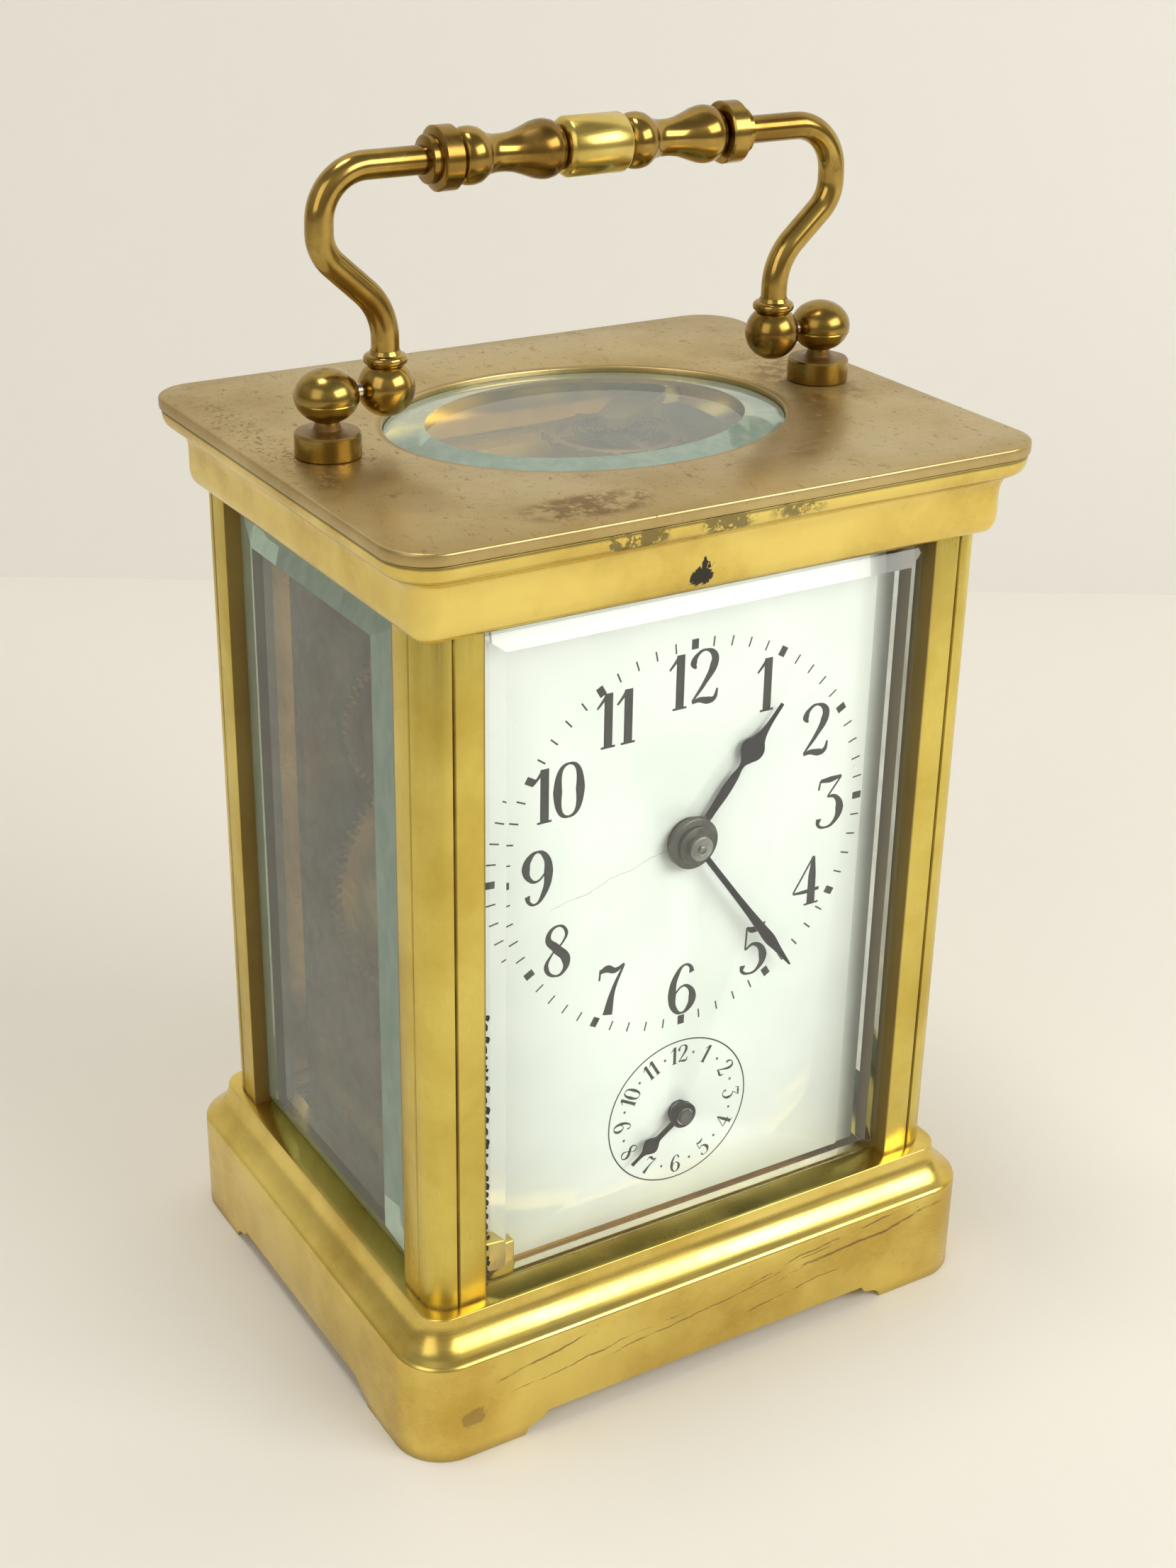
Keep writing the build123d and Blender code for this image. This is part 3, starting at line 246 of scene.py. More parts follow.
def block(name, low, high):
    """A box from its lowest to its highest corner, in mm."""
    deselect()
    middle = [(a + b) / 2 * MM for a, b in zip(low, high)]
    bpy.ops.mesh.primitive_cube_add(size=1, location=middle)
    piece = started(name)
    piece.scale = [(b - a) * MM for a, b in zip(low, high)]
    return settle(piece)


def drum(name, place, radius, length, axis="Z", sides=48):
    """A cylinder whose middle is at place, in mm."""
    deselect()
    turn = {"Z": (0, 0, 0), "Y": (pi / 2, 0, 0), "X": (0, pi / 2, 0)}[axis]
    where = [c * MM for c in place]
    bpy.ops.mesh.primitive_cylinder_add(
        vertices=sides, radius=radius * MM, depth=length * MM, location=where, rotation=turn
    )
    return settle(started(name))


def modify(piece, kind, **settings):
    """Adds a modifier and applies it."""
    only(piece)
    modifier = piece.modifiers.new(kind.title(), kind)
    for key, value in settings.items():
        setattr(modifier, key, value)
    bpy.ops.object.modifier_apply(modifier=modifier.name)
    return piece


def cut(piece, *tools):
    for tool in tools:
        modify(piece, "BOOLEAN", object=tool, operation="DIFFERENCE", solver="EXACT")
        bpy.data.objects.remove(tool)
    return piece


def soften(piece, width, segments=2, angle=32):
    """Takes the sharp edges off and shades the curved faces smooth."""
    limit = {"limit_method": "ANGLE", "angle_limit": radians(angle)}
    modify(piece, "BEVEL", width=width * MM, segments=segments, **limit)
    return smooth(piece, angle)


def smooth(piece, angle=32):
    only(piece)
    bpy.ops.object.shade_smooth_by_angle(angle=radians(angle))
    return piece


def outward(piece):
    """Ends the editing and turns all faces outwards."""
    only(piece)
    edit_all()
    bpy.ops.mesh.remove_doubles(threshold=0.002 * MM)
    bpy.ops.mesh.normals_make_consistent(inside=False)
    bpy.ops.object.mode_set(mode="OBJECT")
    return piece


def joined(name, pieces):
    deselect()
    for piece in pieces:
        piece.select_set(True)
    bpy.context.view_layer.objects.active = pieces[0]
    bpy.ops.object.join()
    return started(name)


def placed(piece, material, body, *nodes, slot=None):
    """Gives a finished piece its material, its body and the CAD nodes that it stands for."""
    piece.data.materials.clear()
    piece.data.materials.append(material)
    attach(piece, body)
    if nodes:
        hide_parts(*nodes)
    return piece


def moulded(name, half_x, half_y, corner, start, steps, upward=True, sides=10):
    """A rounded rectangle that grows in height step by step: (height, inset) from the step before."""
    deselect()
    bpy.ops.mesh.primitive_plane_add(size=2, location=(0, 0, start * MM))
    piece = started(name)
    piece.scale = (half_x * MM, half_y * MM, 1)
    settle(piece)
    edit_all()
    bpy.ops.mesh.bevel(offset=corner * MM, segments=sides, affect="VERTICES")
    bpy.ops.mesh.select_all(action="SELECT")
    if not upward:
        bpy.ops.mesh.flip_normals()
    sign = 1 if upward else -1
    for height, inset in steps:
        if inset:
            bpy.ops.mesh.inset(thickness=inset * MM, depth=height * MM)
        else:
            extrude((0, 0, sign * height * MM))
    return outward(piece)


def curve_steps(rise, run, steep_first, count=8):
    """Steps of a quarter-round moulding: a round starts steep and ends flat, a hollow the other way."""
    points = []
    for i in range(count + 1):
        turn = pi / 2 * i / count
        up, along = (sin(turn), 1 - cos(turn)) if steep_first else (1 - cos(turn), sin(turn))
        points.append((rise * up, run * along))
    return [(b[0] - a[0], b[1] - a[1]) for a, b in zip(points, points[1:])]


def arc_steps(radius, first, last, count):
    """Steps of a moulding's round stretch, whose slope runs from first to last degrees."""
    turns = [radians(first + (last - first) * i / count) for i in range(count + 1)]
    pairs = zip(turns, turns[1:])
    return [(radius * abs(cos(a) - cos(b)), radius * abs(sin(a) - sin(b))) for a, b in pairs]


def turned(name, stations, place, axis="Z", sides=56, angle=38):
    """A lathe-turned piece: stations are (distance along the axis, radius), in mm."""
    deselect()
    first, radius = stations[0]
    where = (0, 0, first * MM)
    bpy.ops.mesh.primitive_circle_add(vertices=sides, radius=radius * MM, fill_type="NGON", location=where)
    piece = settle(started(name))
    edit_all()
    for distance, width in stations[1:]:
        extrude((0, 0, (distance - first) * MM))
        grow = width / radius
        bpy.ops.transform.resize(value=(grow, grow, 1), center_override=(0, 0, distance * MM))
        first, radius = distance, width
    outward(piece)
    if axis == "X":
        piece.rotation_euler = (0, pi / 2, 0)
    if axis == "Y":
        piece.rotation_euler = (-pi / 2, 0, 0)
    piece.location = [c * MM for c in place]
    return smooth(settle(piece), angle)


def outlined(name, points, low, high, facing="Z"):
    """A slab from an outline in mm: (x, y) if it lies flat, (x, z) if it faces front, (y, z) sideways."""
    deselect()
    bpy.ops.mesh.primitive_plane_add(size=1)
    piece = started(name)
    edit_all()
    bpy.ops.mesh.merge(type="CENTER")
    axes = {"Z": ("X", "Y", "Z"), "Y": ("X", "Z", "Y"), "X": ("Y", "Z", "X")}[facing]
    unit = {"X": Vector((MM, 0, 0)), "Y": Vector((0, MM, 0)), "Z": Vector((0, 0, MM))}
    across, along, depth = [unit[axis] for axis in axes]
    spots = [across * a + along * b for a, b in points]
    bpy.ops.transform.translate(value=spots[0] + depth * low)
    for spot, after in zip(spots, spots[1:]):
        extrude(after - spot)
    bpy.ops.mesh.select_all(action="SELECT")
    bpy.ops.mesh.edge_face_add()
    extrude(depth * (high - low))
    return outward(piece)


def drawn(name, strokes, depth_y, thin=0.02):
    """Ink strokes on the dial: each is a list of (x, z, width) in mm, and True at its end closes it."""
    ink = bpy.data.curves.new(name, "CURVE")
    ink.dimensions = "3D"
    ink.bevel_depth = MM
    ink.bevel_resolution = 2
    ink.use_fill_caps = True
    for stroke in strokes:
        points = [p for p in stroke if p is not True]
        spline = ink.splines.new("BEZIER")
        spline.bezier_points.add(len(points) - 1)
        spline.use_cyclic_u = stroke[-1] is True
        spline.resolution_u = 24 if len(points) == 4 and spline.use_cyclic_u else 7
        for point, (x, z, width) in zip(spline.bezier_points, points):
            point.co = (x * MM, 0, z * MM)
            point.radius = width / 2
            point.handle_left_type = point.handle_right_type = "AUTO"
    piece = as_mesh(name, ink)
    piece.scale = (1, thin, 1)
    piece.location = (0, depth_y * MM, 0)
    return settle(piece)


def pointer(name, centre, bearing, stations, y_back, y_front):
    """A flat hand with softened edges: stations are (distance, half width) from its centre, in mm."""
    sheet = bpy.data.curves.new(name, "CURVE")
    sheet.dimensions = "2D"
    sheet.fill_mode = "BOTH"
    round_edge = 0.06
    sheet.extrude = ((y_back - y_front) / 2 - round_edge) * MM
    sheet.bevel_depth = round_edge * MM
    sheet.bevel_resolution = 2
    outline = [(half, along) for along, half in stations]
    outline += [(-half, along) for along, half in reversed(stations)]
    spline = sheet.splines.new("BEZIER")
    spline.bezier_points.add(len(outline) - 1)
    spline.use_cyclic_u = True
    spline.resolution_u = 8
    for point, (across, along) in zip(spline.bezier_points, outline):
        point.co = (across * MM, along * MM, 0)
        end = along in (stations[0][0], stations[-1][0])
        point.handle_left_type = point.handle_right_type = "VECTOR" if end else "AUTO"
    piece = as_mesh(name, sheet)
    turn = radians(bearing)
    facing = Matrix(((cos(turn), sin(turn), 0), (0, 0, -1), (-sin(turn), cos(turn), 0))).to_4x4()
    middle = Vector((centre[0], (y_back + y_front) / 2, centre[1])) * MM
    piece.matrix_world = Matrix.Translation(middle) @ facing
    return smooth(outward(settle(piece)))


def bent_rod(name, corners, radii, thickness, sides=24):
    """A round rod in the handle's plane: runs between (x, z) corners, with bends of the given radii."""
    deselect()
    spots = [Vector((x, 0, z)) * MM for x, z in corners]
    first = (spots[1] - spots[0]).normalized()
    turn = Vector((0, 0, 1)).rotation_difference(first).to_euler()
    bpy.ops.mesh.primitive_circle_add(
        vertices=sides, radius=thickness * MM, fill_type="NGON", location=spots[0], rotation=turn
    )
    piece = settle(started(name))
    edit_all()
    here = spots[0]
    for i, radius in enumerate(radii, start=1):
        come = (spots[i] - spots[i - 1]).normalized()
        leave = (spots[i + 1] - spots[i]).normalized()
        bend = come.angle(leave)
        axis = come.cross(leave).normalized()
        start = spots[i] - come * radius * MM * (sin(bend / 2) / cos(bend / 2))
        extrude(start - here)
        centre = start + axis.cross(come) * radius * MM
        bpy.ops.mesh.spin(steps=16, angle=-bend, center=centre, axis=axis)
        here = spots[i] + leave * radius * MM * (sin(bend / 2) / cos(bend / 2))
    extrude(spots[-1] - here)
    return smooth(outward(piece), 50)


def mirrored(piece, name):
    """A copy of a piece on the other side of the clock, with its own mesh."""
    copy = piece.copy()
    copy.data = piece.data.copy()
    copy.name = copy.data.name = name
    bpy.context.scene.collection.objects.link(copy)
    copy.scale = (-1, 1, 1)
    return outward(settle(copy))


# ---- sizes taken from the frame
def mm_box(node):
    return [[c / MM for c in corner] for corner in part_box(node)]


base_high = mm_box("base")[1]
cornice_high = mm_box("cornice")[1]
plate_low, plate_high = mm_box("top_plate")
dial_low, dial_high = mm_box("dial")
pillar_low, pillar_high = mm_box("pillar_front_right")
pillar_x, pillar_y = pillar_high[0], -pillar_low[1]
pillar_width, groove_place = 6.95, 3.41
oval_x, oval_y = 23.9, 19.3
recess_x, recess_y = 28.2, 23.2
hinge_z, grip_z, arm_x = 117.62, 141.0, 25.11
hands_z, alarm_z = 67.83, 31.44


# ---- the finishes
gold, old_gold = colour(222, 201, 106), colour(198, 172, 80)
# the brown serves the base's scratches and the painted shade in the pillars' grooves; the black serves the
# cornice's stains and its painted shade lines
black_dirt_and_shade, brown_dirt_and_shade, smudge_brown = colour(42, 38, 24), colour(92, 60, 28), colour(104, 78, 40)
# painted shade lines of the cornice, under the top plate, in its crease and along its lower edge: height,
# half width, depth of colour
cornice_shade_lines = ((109.45, 0.3, 0.7), (107.45, 0.4, 0.55), (100.2, 0.5, 0.5))
# scratches on the base's front: height, slope, middle, half length, half width
base_scratches = (
    (11.4, 0.128, 16.0, 14.0, 0.2),
    (10.2, 0.11, 22.0, 16.0, 0.32),
    (9.1, 0.12, 2.0, 20.0, 0.16),
    (8.2, 0.10, -16.0, 14.0, 0.18),
    (10.3, 0.16, -24.0, 7.0, 0.22),
    (6.4, 0.08, 12.0, 9.0, 0.14),
)


def groove_dirt(f, x, y, z):
    """Painted shade: dark lines in the fine grooves of the corner pillars, at their feet and on their inner
    faces, patchy in strength.
    """
    line, feather = 0.28, 0.6
    groove_x, groove_y = pillar_x - groove_place, pillar_y - groove_place
    # painted shade in the two fine grooves
    front_line = near(x.size(), groove_x, line) * (y.size() - groove_y).ramp(0.0, feather)
    side_line = near(y.size(), groove_y, line) * (x.size() - groove_x).ramp(0.0, feather)
    # painted shadow line at the pillars' feet
    foot = near(z, pillar_low[2], 0.9) * 0.8
    inner_x, inner_y = pillar_x - pillar_width, pillar_y - pillar_width
    # painted shade on the pillars' inner faces, next to the glass
    hidden_faces = near(y.size(), inner_y, 0.3).most(near(x.size(), inner_x, 0.3)) * 0.75
    patchy = f.noise(0.5, 4.0, 0.6, stretch=(1, 1, 0.2), seed=4.0).ramp(0.25, 0.6, 0.45, 1.0)
    return (front_line.most(side_line).most(foot) * patchy).most(hidden_faces), brown_dirt_and_shade


def seam_dirt(f, x, y, z):
    """Blotches along the seam under the top plate, a torn one at the front's lower edge, and painted shade
    lines along the cornice.
    """
    front = (-y).ramp(30.0, 32.0)
    patchy = f.noise(0.7, 6.0, 0.7, seed=9.0).ramp(0.42, 0.56)
    places = near(x, -13.7, 5.5).most(near(x, -2.8, 4.5)).most(near(x, 6.0, 6.0) * 0.4)
    seam = (near(z, 109.2, 2.4) * front * places * patchy).ramp(0.05, 0.3)
    torn = f.noise(1.4, 4.0, 0.75, seed=31.0) - 0.5
    blotch_x, blotch_z, lower_edge = -4.0, 102.3, (-y).ramp(29.5, 29.9)
    wide = near(x + torn * 2.4, blotch_x, 1.9) * near(z + torn * 3.4, blotch_z, 1.5)
    drip = near(x + torn * 0.8, blotch_x + 0.3, 0.5) * near(z, blotch_z + 1.1, 1.6) * 0.7
    blotch = (wide.most(drip) * lower_edge).ramp(0.16, 0.26)
    # painted shade lines under the top plate, in the moulding's crease and along its lower edge
    lines = [near(z, place, width) * depth for place, width, depth in cornice_shade_lines]
    return (seam * 0.7).most(blotch).most(lines[0]).most(lines[1]).most(lines[2]), black_dirt_and_shade


def base_dirt(f, x, y, z):
    """Scratches along the front, a worn patch on the left foot, dark specks where the hollow meets the
    plinth, and a darker band along the bottom.
    """
    front = (-y).ramp(32.6, 33.0)
    wander = f.noise(0.12, 4.0, 0.6, seed=5.0) - 0.5
    broken = f.noise(0.3, 4.0, 0.7, stretch=(0.6, 1.0, 3.0), seed=25.0).ramp(0.4, 0.52)
    scratches = 0.0
    for height, slope, middle, reach, width in base_scratches:
        line = near(z - (x - middle) * slope - height + wander * 2.2, 0.0, width)
        scratches = (line * near(x, middle, reach).ramp(0.0, 0.25)).most(scratches)
    scratches = scratches * broken * front * 0.85
    spot = f.noise(0.8, 3.0, 0.6, seed=8.0) - 0.5
    patch_x, patch_z = -33.0, 5.6
    patch = near(x + spot * 3, patch_x, 2.3) * near(z + spot * 3, patch_z, 1.9) * front
    specks = f.noise(1.6, 3.0, 0.6, seed=6.0).ramp(0.68, 0.74)
    edge = near(z, 12.1, 0.7) * specks
    # darker along the bottom edge all round, with darker specks in it
    foot = near(z, 0.0, 1.6) * specks.most(0.35)
    return scratches.most(patch.ramp(0.15, 0.4) * 0.45).most(edge).most(foot), brown_dirt_and_shade


def plate_dirt(f, x, y, z):
    """Smudges near the front edge, a smooth darker patch in front of the left post, grit round that post and
    dark edges of the oval.
    """
    cloud = f.noise(0.4, 6.0, 0.75, seed=12.0).ramp(0.42, 0.56)
    smudge = (near(x, -16.0, 12.0) * near(y, -27.4, 5.0)).ramp(0.05, 0.5) * cloud
    # a smooth darker patch in front of the left post
    corner = (near(x, -31.0, 7.0) * near(y, -17.0, 10.0)).ramp(0.1, 0.9) * 0.35
    right = (near(x, 31.0, 9.0) * near(y, 2.0, 20.0)).ramp(0.1, 0.7) * cloud * 0.6
    rim = (x * x * (1 / oval_x**2) + y * y * (1 / oval_y**2)).ramp(1.0, 1.09, 1.0, 0.0)
    marks = f.noise(1.3, 5.0, 0.75, stretch=(1, 0.6, 1), seed=42.0).ramp(0.56, 0.66)
    grit = f.noise(2.2, 3.0, 0.7, seed=15.0).ramp(0.54, 0.6)
    heap = near((x + 32.0) * (x + 32.0) + y * y, 15.0, 16.0).ramp(0.0, 0.4) * grit
    left = (near(x, -36.5, 3.5) * near(y, 8.0, 26.0)).ramp(0.0, 0.5) * grit * 0.7
    top_face = z.ramp(plate_high[2] - 0.08, plate_high[2])
    stains = (smudge.most(right) * 0.85).most(corner).most(marks * 0.6)
    return stains.most(rim * 0.6).most(heap).most(left) * top_face, smudge_brown


def post_dirt(f, x, y, z):
    """Rust on the posts' balls, and painted shade in the hollow neck above their feet."""
    rust = f.noise(0.7, 5.0, 0.7, seed=3.0).ramp(0.5, 0.66) * z.ramp(119.6, 120.4)
    # painted shade in the narrow neck between the foot and the ball
    hollow = near(z, 114.2, 0.8) * 0.7
    return (rust * 0.6).most(hollow), colour(104, 62, 26)


def turned_dirt(f, x, y, z):
    """Brown patches on the handle."""
    patches = f.noise(0.3, 4.0, 0.6, seed=21.0).ramp(0.55, 0.75) * 0.4
    return patches, colour(84, 58, 22)


case_brass = brass("case_brass", gold, old_gold, 0.24, (0.15, 0.15, 3.0), seed=1.0)
pillar_brass = brass("pillar_brass", gold, old_gold, 0.25, (4.0, 4.0, 0.1), grime_and_shade=groove_dirt, seed=2.0)
pale_gold, deep_gold = colour(236, 211, 118), colour(200, 169, 82)
base_brass = brass("base_brass", pale_gold, deep_gold, 0.17, (0.12, 0.12, 3.0), grime_and_shade=base_dirt, seed=3.0)
cornice_brass = brass(
    "cornice_brass", pale_gold, deep_gold, 0.17, (0.12, 0.12, 3.0), grime_and_shade=seam_dirt, seed=4.0
)
tan, dull_tan = colour(196, 174, 122), colour(174, 150, 98)
plate_brass = brass("plate_brass", tan, dull_tan, 0.28, (0.25, 2.0, 1.0), 0.5, plate_dirt, 5.0, speckle=0.6)
bronze, dark_bronze = colour(196, 166, 90), colour(132, 102, 50)
handle_brass = brass("handle_brass", bronze, dark_bronze, 0.1, (0.3, 0.3, 0.3), 0.0, turned_dirt, 6.0)
bright_grip, dull_grip = colour(236, 220, 144), colour(204, 178, 96)
grip_brass = brass("grip_brass", bright_grip, dull_grip, 0.12, (0.3, 2.0, 2.0), seed=9.0)
copper, dull_copper = colour(184, 160, 90), colour(140, 114, 58)
post_brass = brass("post_brass", copper, dull_copper, 0.13, (0.4, 0.4, 3.0), 0.0, post_dirt, 7.0)
movement_gold, movement_dull = colour(214, 180, 104), colour(170, 134, 70)
movement_brass = brass("movement_brass", movement_gold, movement_dull, 0.28, (0.3, 0.3, 2.5), 0.3, seed=8.0)


def metal(name, bright, dull, roughness, seed):
    """Steel with a fine grain and cloudy colour."""
    f = Finish(name)
    f.place()
    cloud = f.noise(0.4, 5.0, 0.6, seed=seed)
    grain = f.noise(3.0, 3.0, 0.6, stretch=(1, 1, 0.3), seed=seed + 1)
    tint = f.mix(cloud.ramp(0.35, 0.7), bright, dull)
    f.set(base_color=tint, metallic=1.0, roughness=roughness + grain.ramp(0.3, 0.7) * 0.12)
    f.bump(grain, 0.003, 0.4)
    return f.material


steel = metal("steel", colour(190, 190, 188), colour(140, 138, 134), 0.22, 1.0)
spring_steel = metal("spring_steel", colour(120, 124, 138), colour(84, 84, 92), 0.26, 2.0)
hand_steel = metal("hand_steel", colour(46, 44, 50), colour(30, 28, 30), 0.3, 3.0)
boss_steel = metal("boss_steel", colour(104, 102, 96), colour(72, 70, 66), 0.34, 4.0)
collet_steel = metal("collet_steel", colour(170, 170, 162), colour(122, 122, 116), 0.3, 5.0)


def glass_finish(name, tint, density, dusty=0.0):
    """Clear glass: it bends light, is green through its depth, and lets the lamps shine through it."""
    f = Finish(name)
    f.place()
    dust = f.noise(0.12, 5.0, 0.65, seed=5.0).ramp(0.3, 0.75) * dusty
    f.set(base_color=f.mix(dust, colour(255, 255, 255), colour(190, 172, 165)), roughness=0.0)
    f.set(transmission_weight=1.0, ior=1.5)
    ray = f.node("ShaderNodeLightPath", {}, [], "Is Shadow Ray")
    clear = f.node("ShaderNodeBsdfTransparent", {}, [])
    whole = f.node("ShaderNodeMixShader", {}, [ray, Link(f, f.shader.outputs[0]), clear])
    f.feed(f.out.inputs["Surface"], whole)
    depth = f.node("ShaderNodeVolumeAbsorption", {}, {"Color": tint, "Density": density})
    f.feed(f.out.inputs["Volume"], depth)
    return f.material


def ground_finish():
    """The ground bevels and edges of the glasses: pale sea green, part clear and part milky."""
    f = Finish("ground_glass")
    f.place()
    streak = f.noise(0.5, 3.0, 0.6, stretch=(1.0, 1.0, 0.3), seed=2.0).ramp(0.3, 0.7)
    f.set(base_color=f.mix(streak, colour(182, 212, 194), colour(206, 228, 212)), roughness=0.06)
    f.set(transmission_weight=0.55, ior=1.5)
    return f.material


clear_glass = glass_finish("clear_glass", (0.35, 0.93, 0.80, 1.0), 24.0)
side_glass = glass_finish("side_glass", (0.25, 0.93, 0.78, 1.0), 60.0, dusty=0.8)
ground_glass = ground_finish()


def enamel_finish():
    """White dial enamel, with one hairline crack and a few specks."""
    f = Finish("enamel")
    x, _, z = f.place()
    cloud = f.noise(0.1, 3.0, 0.5, seed=3.0)
    tint = f.mix(cloud.ramp(0.3, 0.7), colour(238, 240, 235), colour(230, 234, 228))
    wander = f.noise(0.35, 3.0, 0.6, seed=6.0) - 0.5
    crack_x, crack_z, slope, width = -2.5, 67.2, 0.255, 0.10
    line = near(z - crack_z - (x - crack_x) * slope + wander * 1.4, 0.0, width)
    stretch = x.ramp(-18.5, -17.0) * (-x).ramp(2.4, 3.2)
    speck = f.noise(0.9, 2.0, 0.5, seed=9.0).ramp(0.76, 0.79)
    tint = f.mix((line * stretch * 0.45).most(speck * 0.3), tint, colour(120, 112, 100))
    f.set(base_color=tint, roughness=0.16, coat_weight=0.5, coat_roughness=0.05)
    return f.material


def ink_finish():
    f = Finish("dial_ink")
    f.place()
    wear = f.noise(2.0, 3.0, 0.6, seed=4.0).ramp(0.4, 0.8)
    f.set(base_color=f.mix(wear, colour(20, 22, 22), colour(44, 46, 46)), roughness=0.35)
    return f.material


def mask_finish():
    """Grey-white paint with a painted shadow: greyer towards the outside, where the pillars shade it."""
    f = Finish("mask_shaded")
    x = f.place()[0]
    # painted shadow of the pillars, greying the strip towards its outer end
    outer = (x.size() + f.noise(0.2, 3.0, 0.6, seed=3.0) * 0.8).ramp(24.0, 27.2)
    f.set(base_color=f.mix(outer, colour(214, 217, 210), colour(128, 130, 122)), roughness=0.4)
    f.bump(f.noise(1.4, 3.0, 0.6, seed=8.0), 0.02, 0.4)
    return f.material


enamel = enamel_finish()
mask_shaded = mask_finish()
dial_ink = ink_finish()


# ---- the case
def make_base():
    """The moulded base: a plain band, a round and a hollow, cut away below between its four feet."""
    half_x, half_y = base_high[0], base_high[1]
    plinth, shoulder, hollow, meeting, steepest = 12.75, 0.9, 5.75, 30, 78
    steps = [(plinth, 0)] + arc_steps(shoulder, 90, meeting, 5) + arc_steps(hollow, meeting, steepest, 12)
    rise = sum(step[0] for step in steps)
    steps += [(base_high[2] - rise, 0.0)]
    piece = moulded("base_moulded", half_x, half_y, 6.2, 0.0, steps)
    wall, web = 4.0, 9.0
    cavity = block("cavity", (-half_x + wall, -half_y + wall, -1), (half_x - wall, half_y - wall, web))
    recess = block("recess", (-recess_x, -recess_y, 12.5), (recess_x, recess_y, 30))
    foot_end = [(-0.2, -1.0), (0.0, 0.0), (0.3, 0.75), (1.0, 1.2), (1.8, 1.35), (2.5, 1.6), (3.0, 2.4)]
    cuts = [cavity, recess]
    for facing, reach, foot in (("Y", half_x, 14.0), ("X", half_y, 13.8)):
        left = [(-reach + foot + along, up) for along, up in foot_end]
        right = [(-along, up) for along, up in reversed(left)]
        cuts.append(outlined("apron", left + right, -60, 60, facing))
    cut(piece, *cuts)
    soften(piece, 0.15, 3, 30)
    placed(piece, base_brass, "case", "base", slot="case_brass")


def make_pillars():
    """Four corner pillars: square, with a rounded outer corner between two fine grooves."""
    size, radius = 0.22, 3.2
    turns = [radians(t) for t in range(0, 91, 9)]
    inner_x, inner_y = pillar_x - pillar_width, -pillar_y + pillar_width
    groove_x, groove_y = pillar_x - groove_place, -pillar_y + groove_place
    outline = [(inner_x, inner_y), (inner_x, -pillar_y), (groove_x - size, -pillar_y)]
    outline += [(groove_x, -pillar_y + 2 * size), (groove_x + size, -pillar_y)]
    outline += [(pillar_x - radius * (1 - sin(t)), -pillar_y + radius * (1 - cos(t))) for t in turns]
    outline += [(pillar_x, groove_y - size), (pillar_x - 2 * size, groove_y)]
    outline += [(pillar_x, groove_y + size), (pillar_x, inner_y)]
    for place, depth, side in (
        ("front_right", 1, 1),
        ("front_left", 1, -1),
        ("rear_right", -1, 1),
        ("rear_left", -1, -1),
    ):
        name = "pillar_" + place
        points = [(x * side, y * depth) for x, y in outline]
        piece = outlined(name + "_moulded", points, pillar_low[2], pillar_high[2])
        soften(piece, 0.1, 2, 30)
        placed(piece, pillar_brass, "case", name, slot="case_brass")


def make_cornice():
    """The moulded frame under the top plate, made from its top downwards."""
    steps = [(0.4, 0)] + curve_steps(1.65, 1.05, True) + [(0.1, 0.0)]
    steps += curve_steps(2.65, 1.72, False) + [(2.4, 0)] + curve_steps(2.0, 1.18, True)
    piece = moulded("cornice_moulded", cornice_high[0], cornice_high[1], 5.3, cornice_high[2], steps, False)
    cut(piece, block("opening", (-recess_x, -recess_y, 90), (recess_x, recess_y, 120)))
    soften(piece, 0.18, 3, 30)
    placed(piece, cornice_brass, "case", "cornice", slot="case_brass")


def make_top_plate():
    thickness = plate_high[2] - plate_low[2]
    steps = [(thickness, 0)]
    piece = moulded("top_plate_worn", plate_high[0], plate_high[1], 5.5, plate_low[2], steps, sides=14)
    oval = drum("oval", (0, 0, 110), 1, 10, sides=160)
    oval.scale = (oval_x, oval_y, 1)
    settle(oval)
    cut(piece, oval)
    soften(piece, 0.3, 3, 40)
    placed(piece, plate_brass, "case", "top_plate", slot="plate_brass")


def make_top_glass():
    """The oval window with its broad bevel."""
    deselect()
    bottom = (0, 0, 107.75 * MM)
    whole, window, flat = (25.3, 20.7), (23.8, 19.2), (19.2, 14.6)
    bpy.ops.mesh.primitive_circle_add(vertices=192, radius=MM, fill_type="NGON", location=bottom)
    piece = started("top_glass_bevelled")
    piece.scale = (*whole, 1)
    settle(piece)
    edit_all()
    past = whole
    for rise, oval in ((1.85, whole), (0.0, window), (0.75, window), (0.65, flat)):
        extrude((0, 0, rise * MM))
        grow = (oval[0] / past[0], oval[1] / past[1], 1)
        bpy.ops.transform.resize(value=grow, center_override=(0, 0, 0))
        past = oval
    smooth(outward(piece), 5)
    placed(piece, clear_glass, "case", "top_glass", slot="glass")
    bevel_of(piece, lambda normal: 0.5 < normal.z < 0.995)


def bevel_of(piece, chosen):
    """Gives the ground finish to the faces whose direction is chosen."""
    piece.data.materials.append(ground_glass)
    for face in piece.data.polygons:
        if chosen(face.normal):
            face.material_index = 1


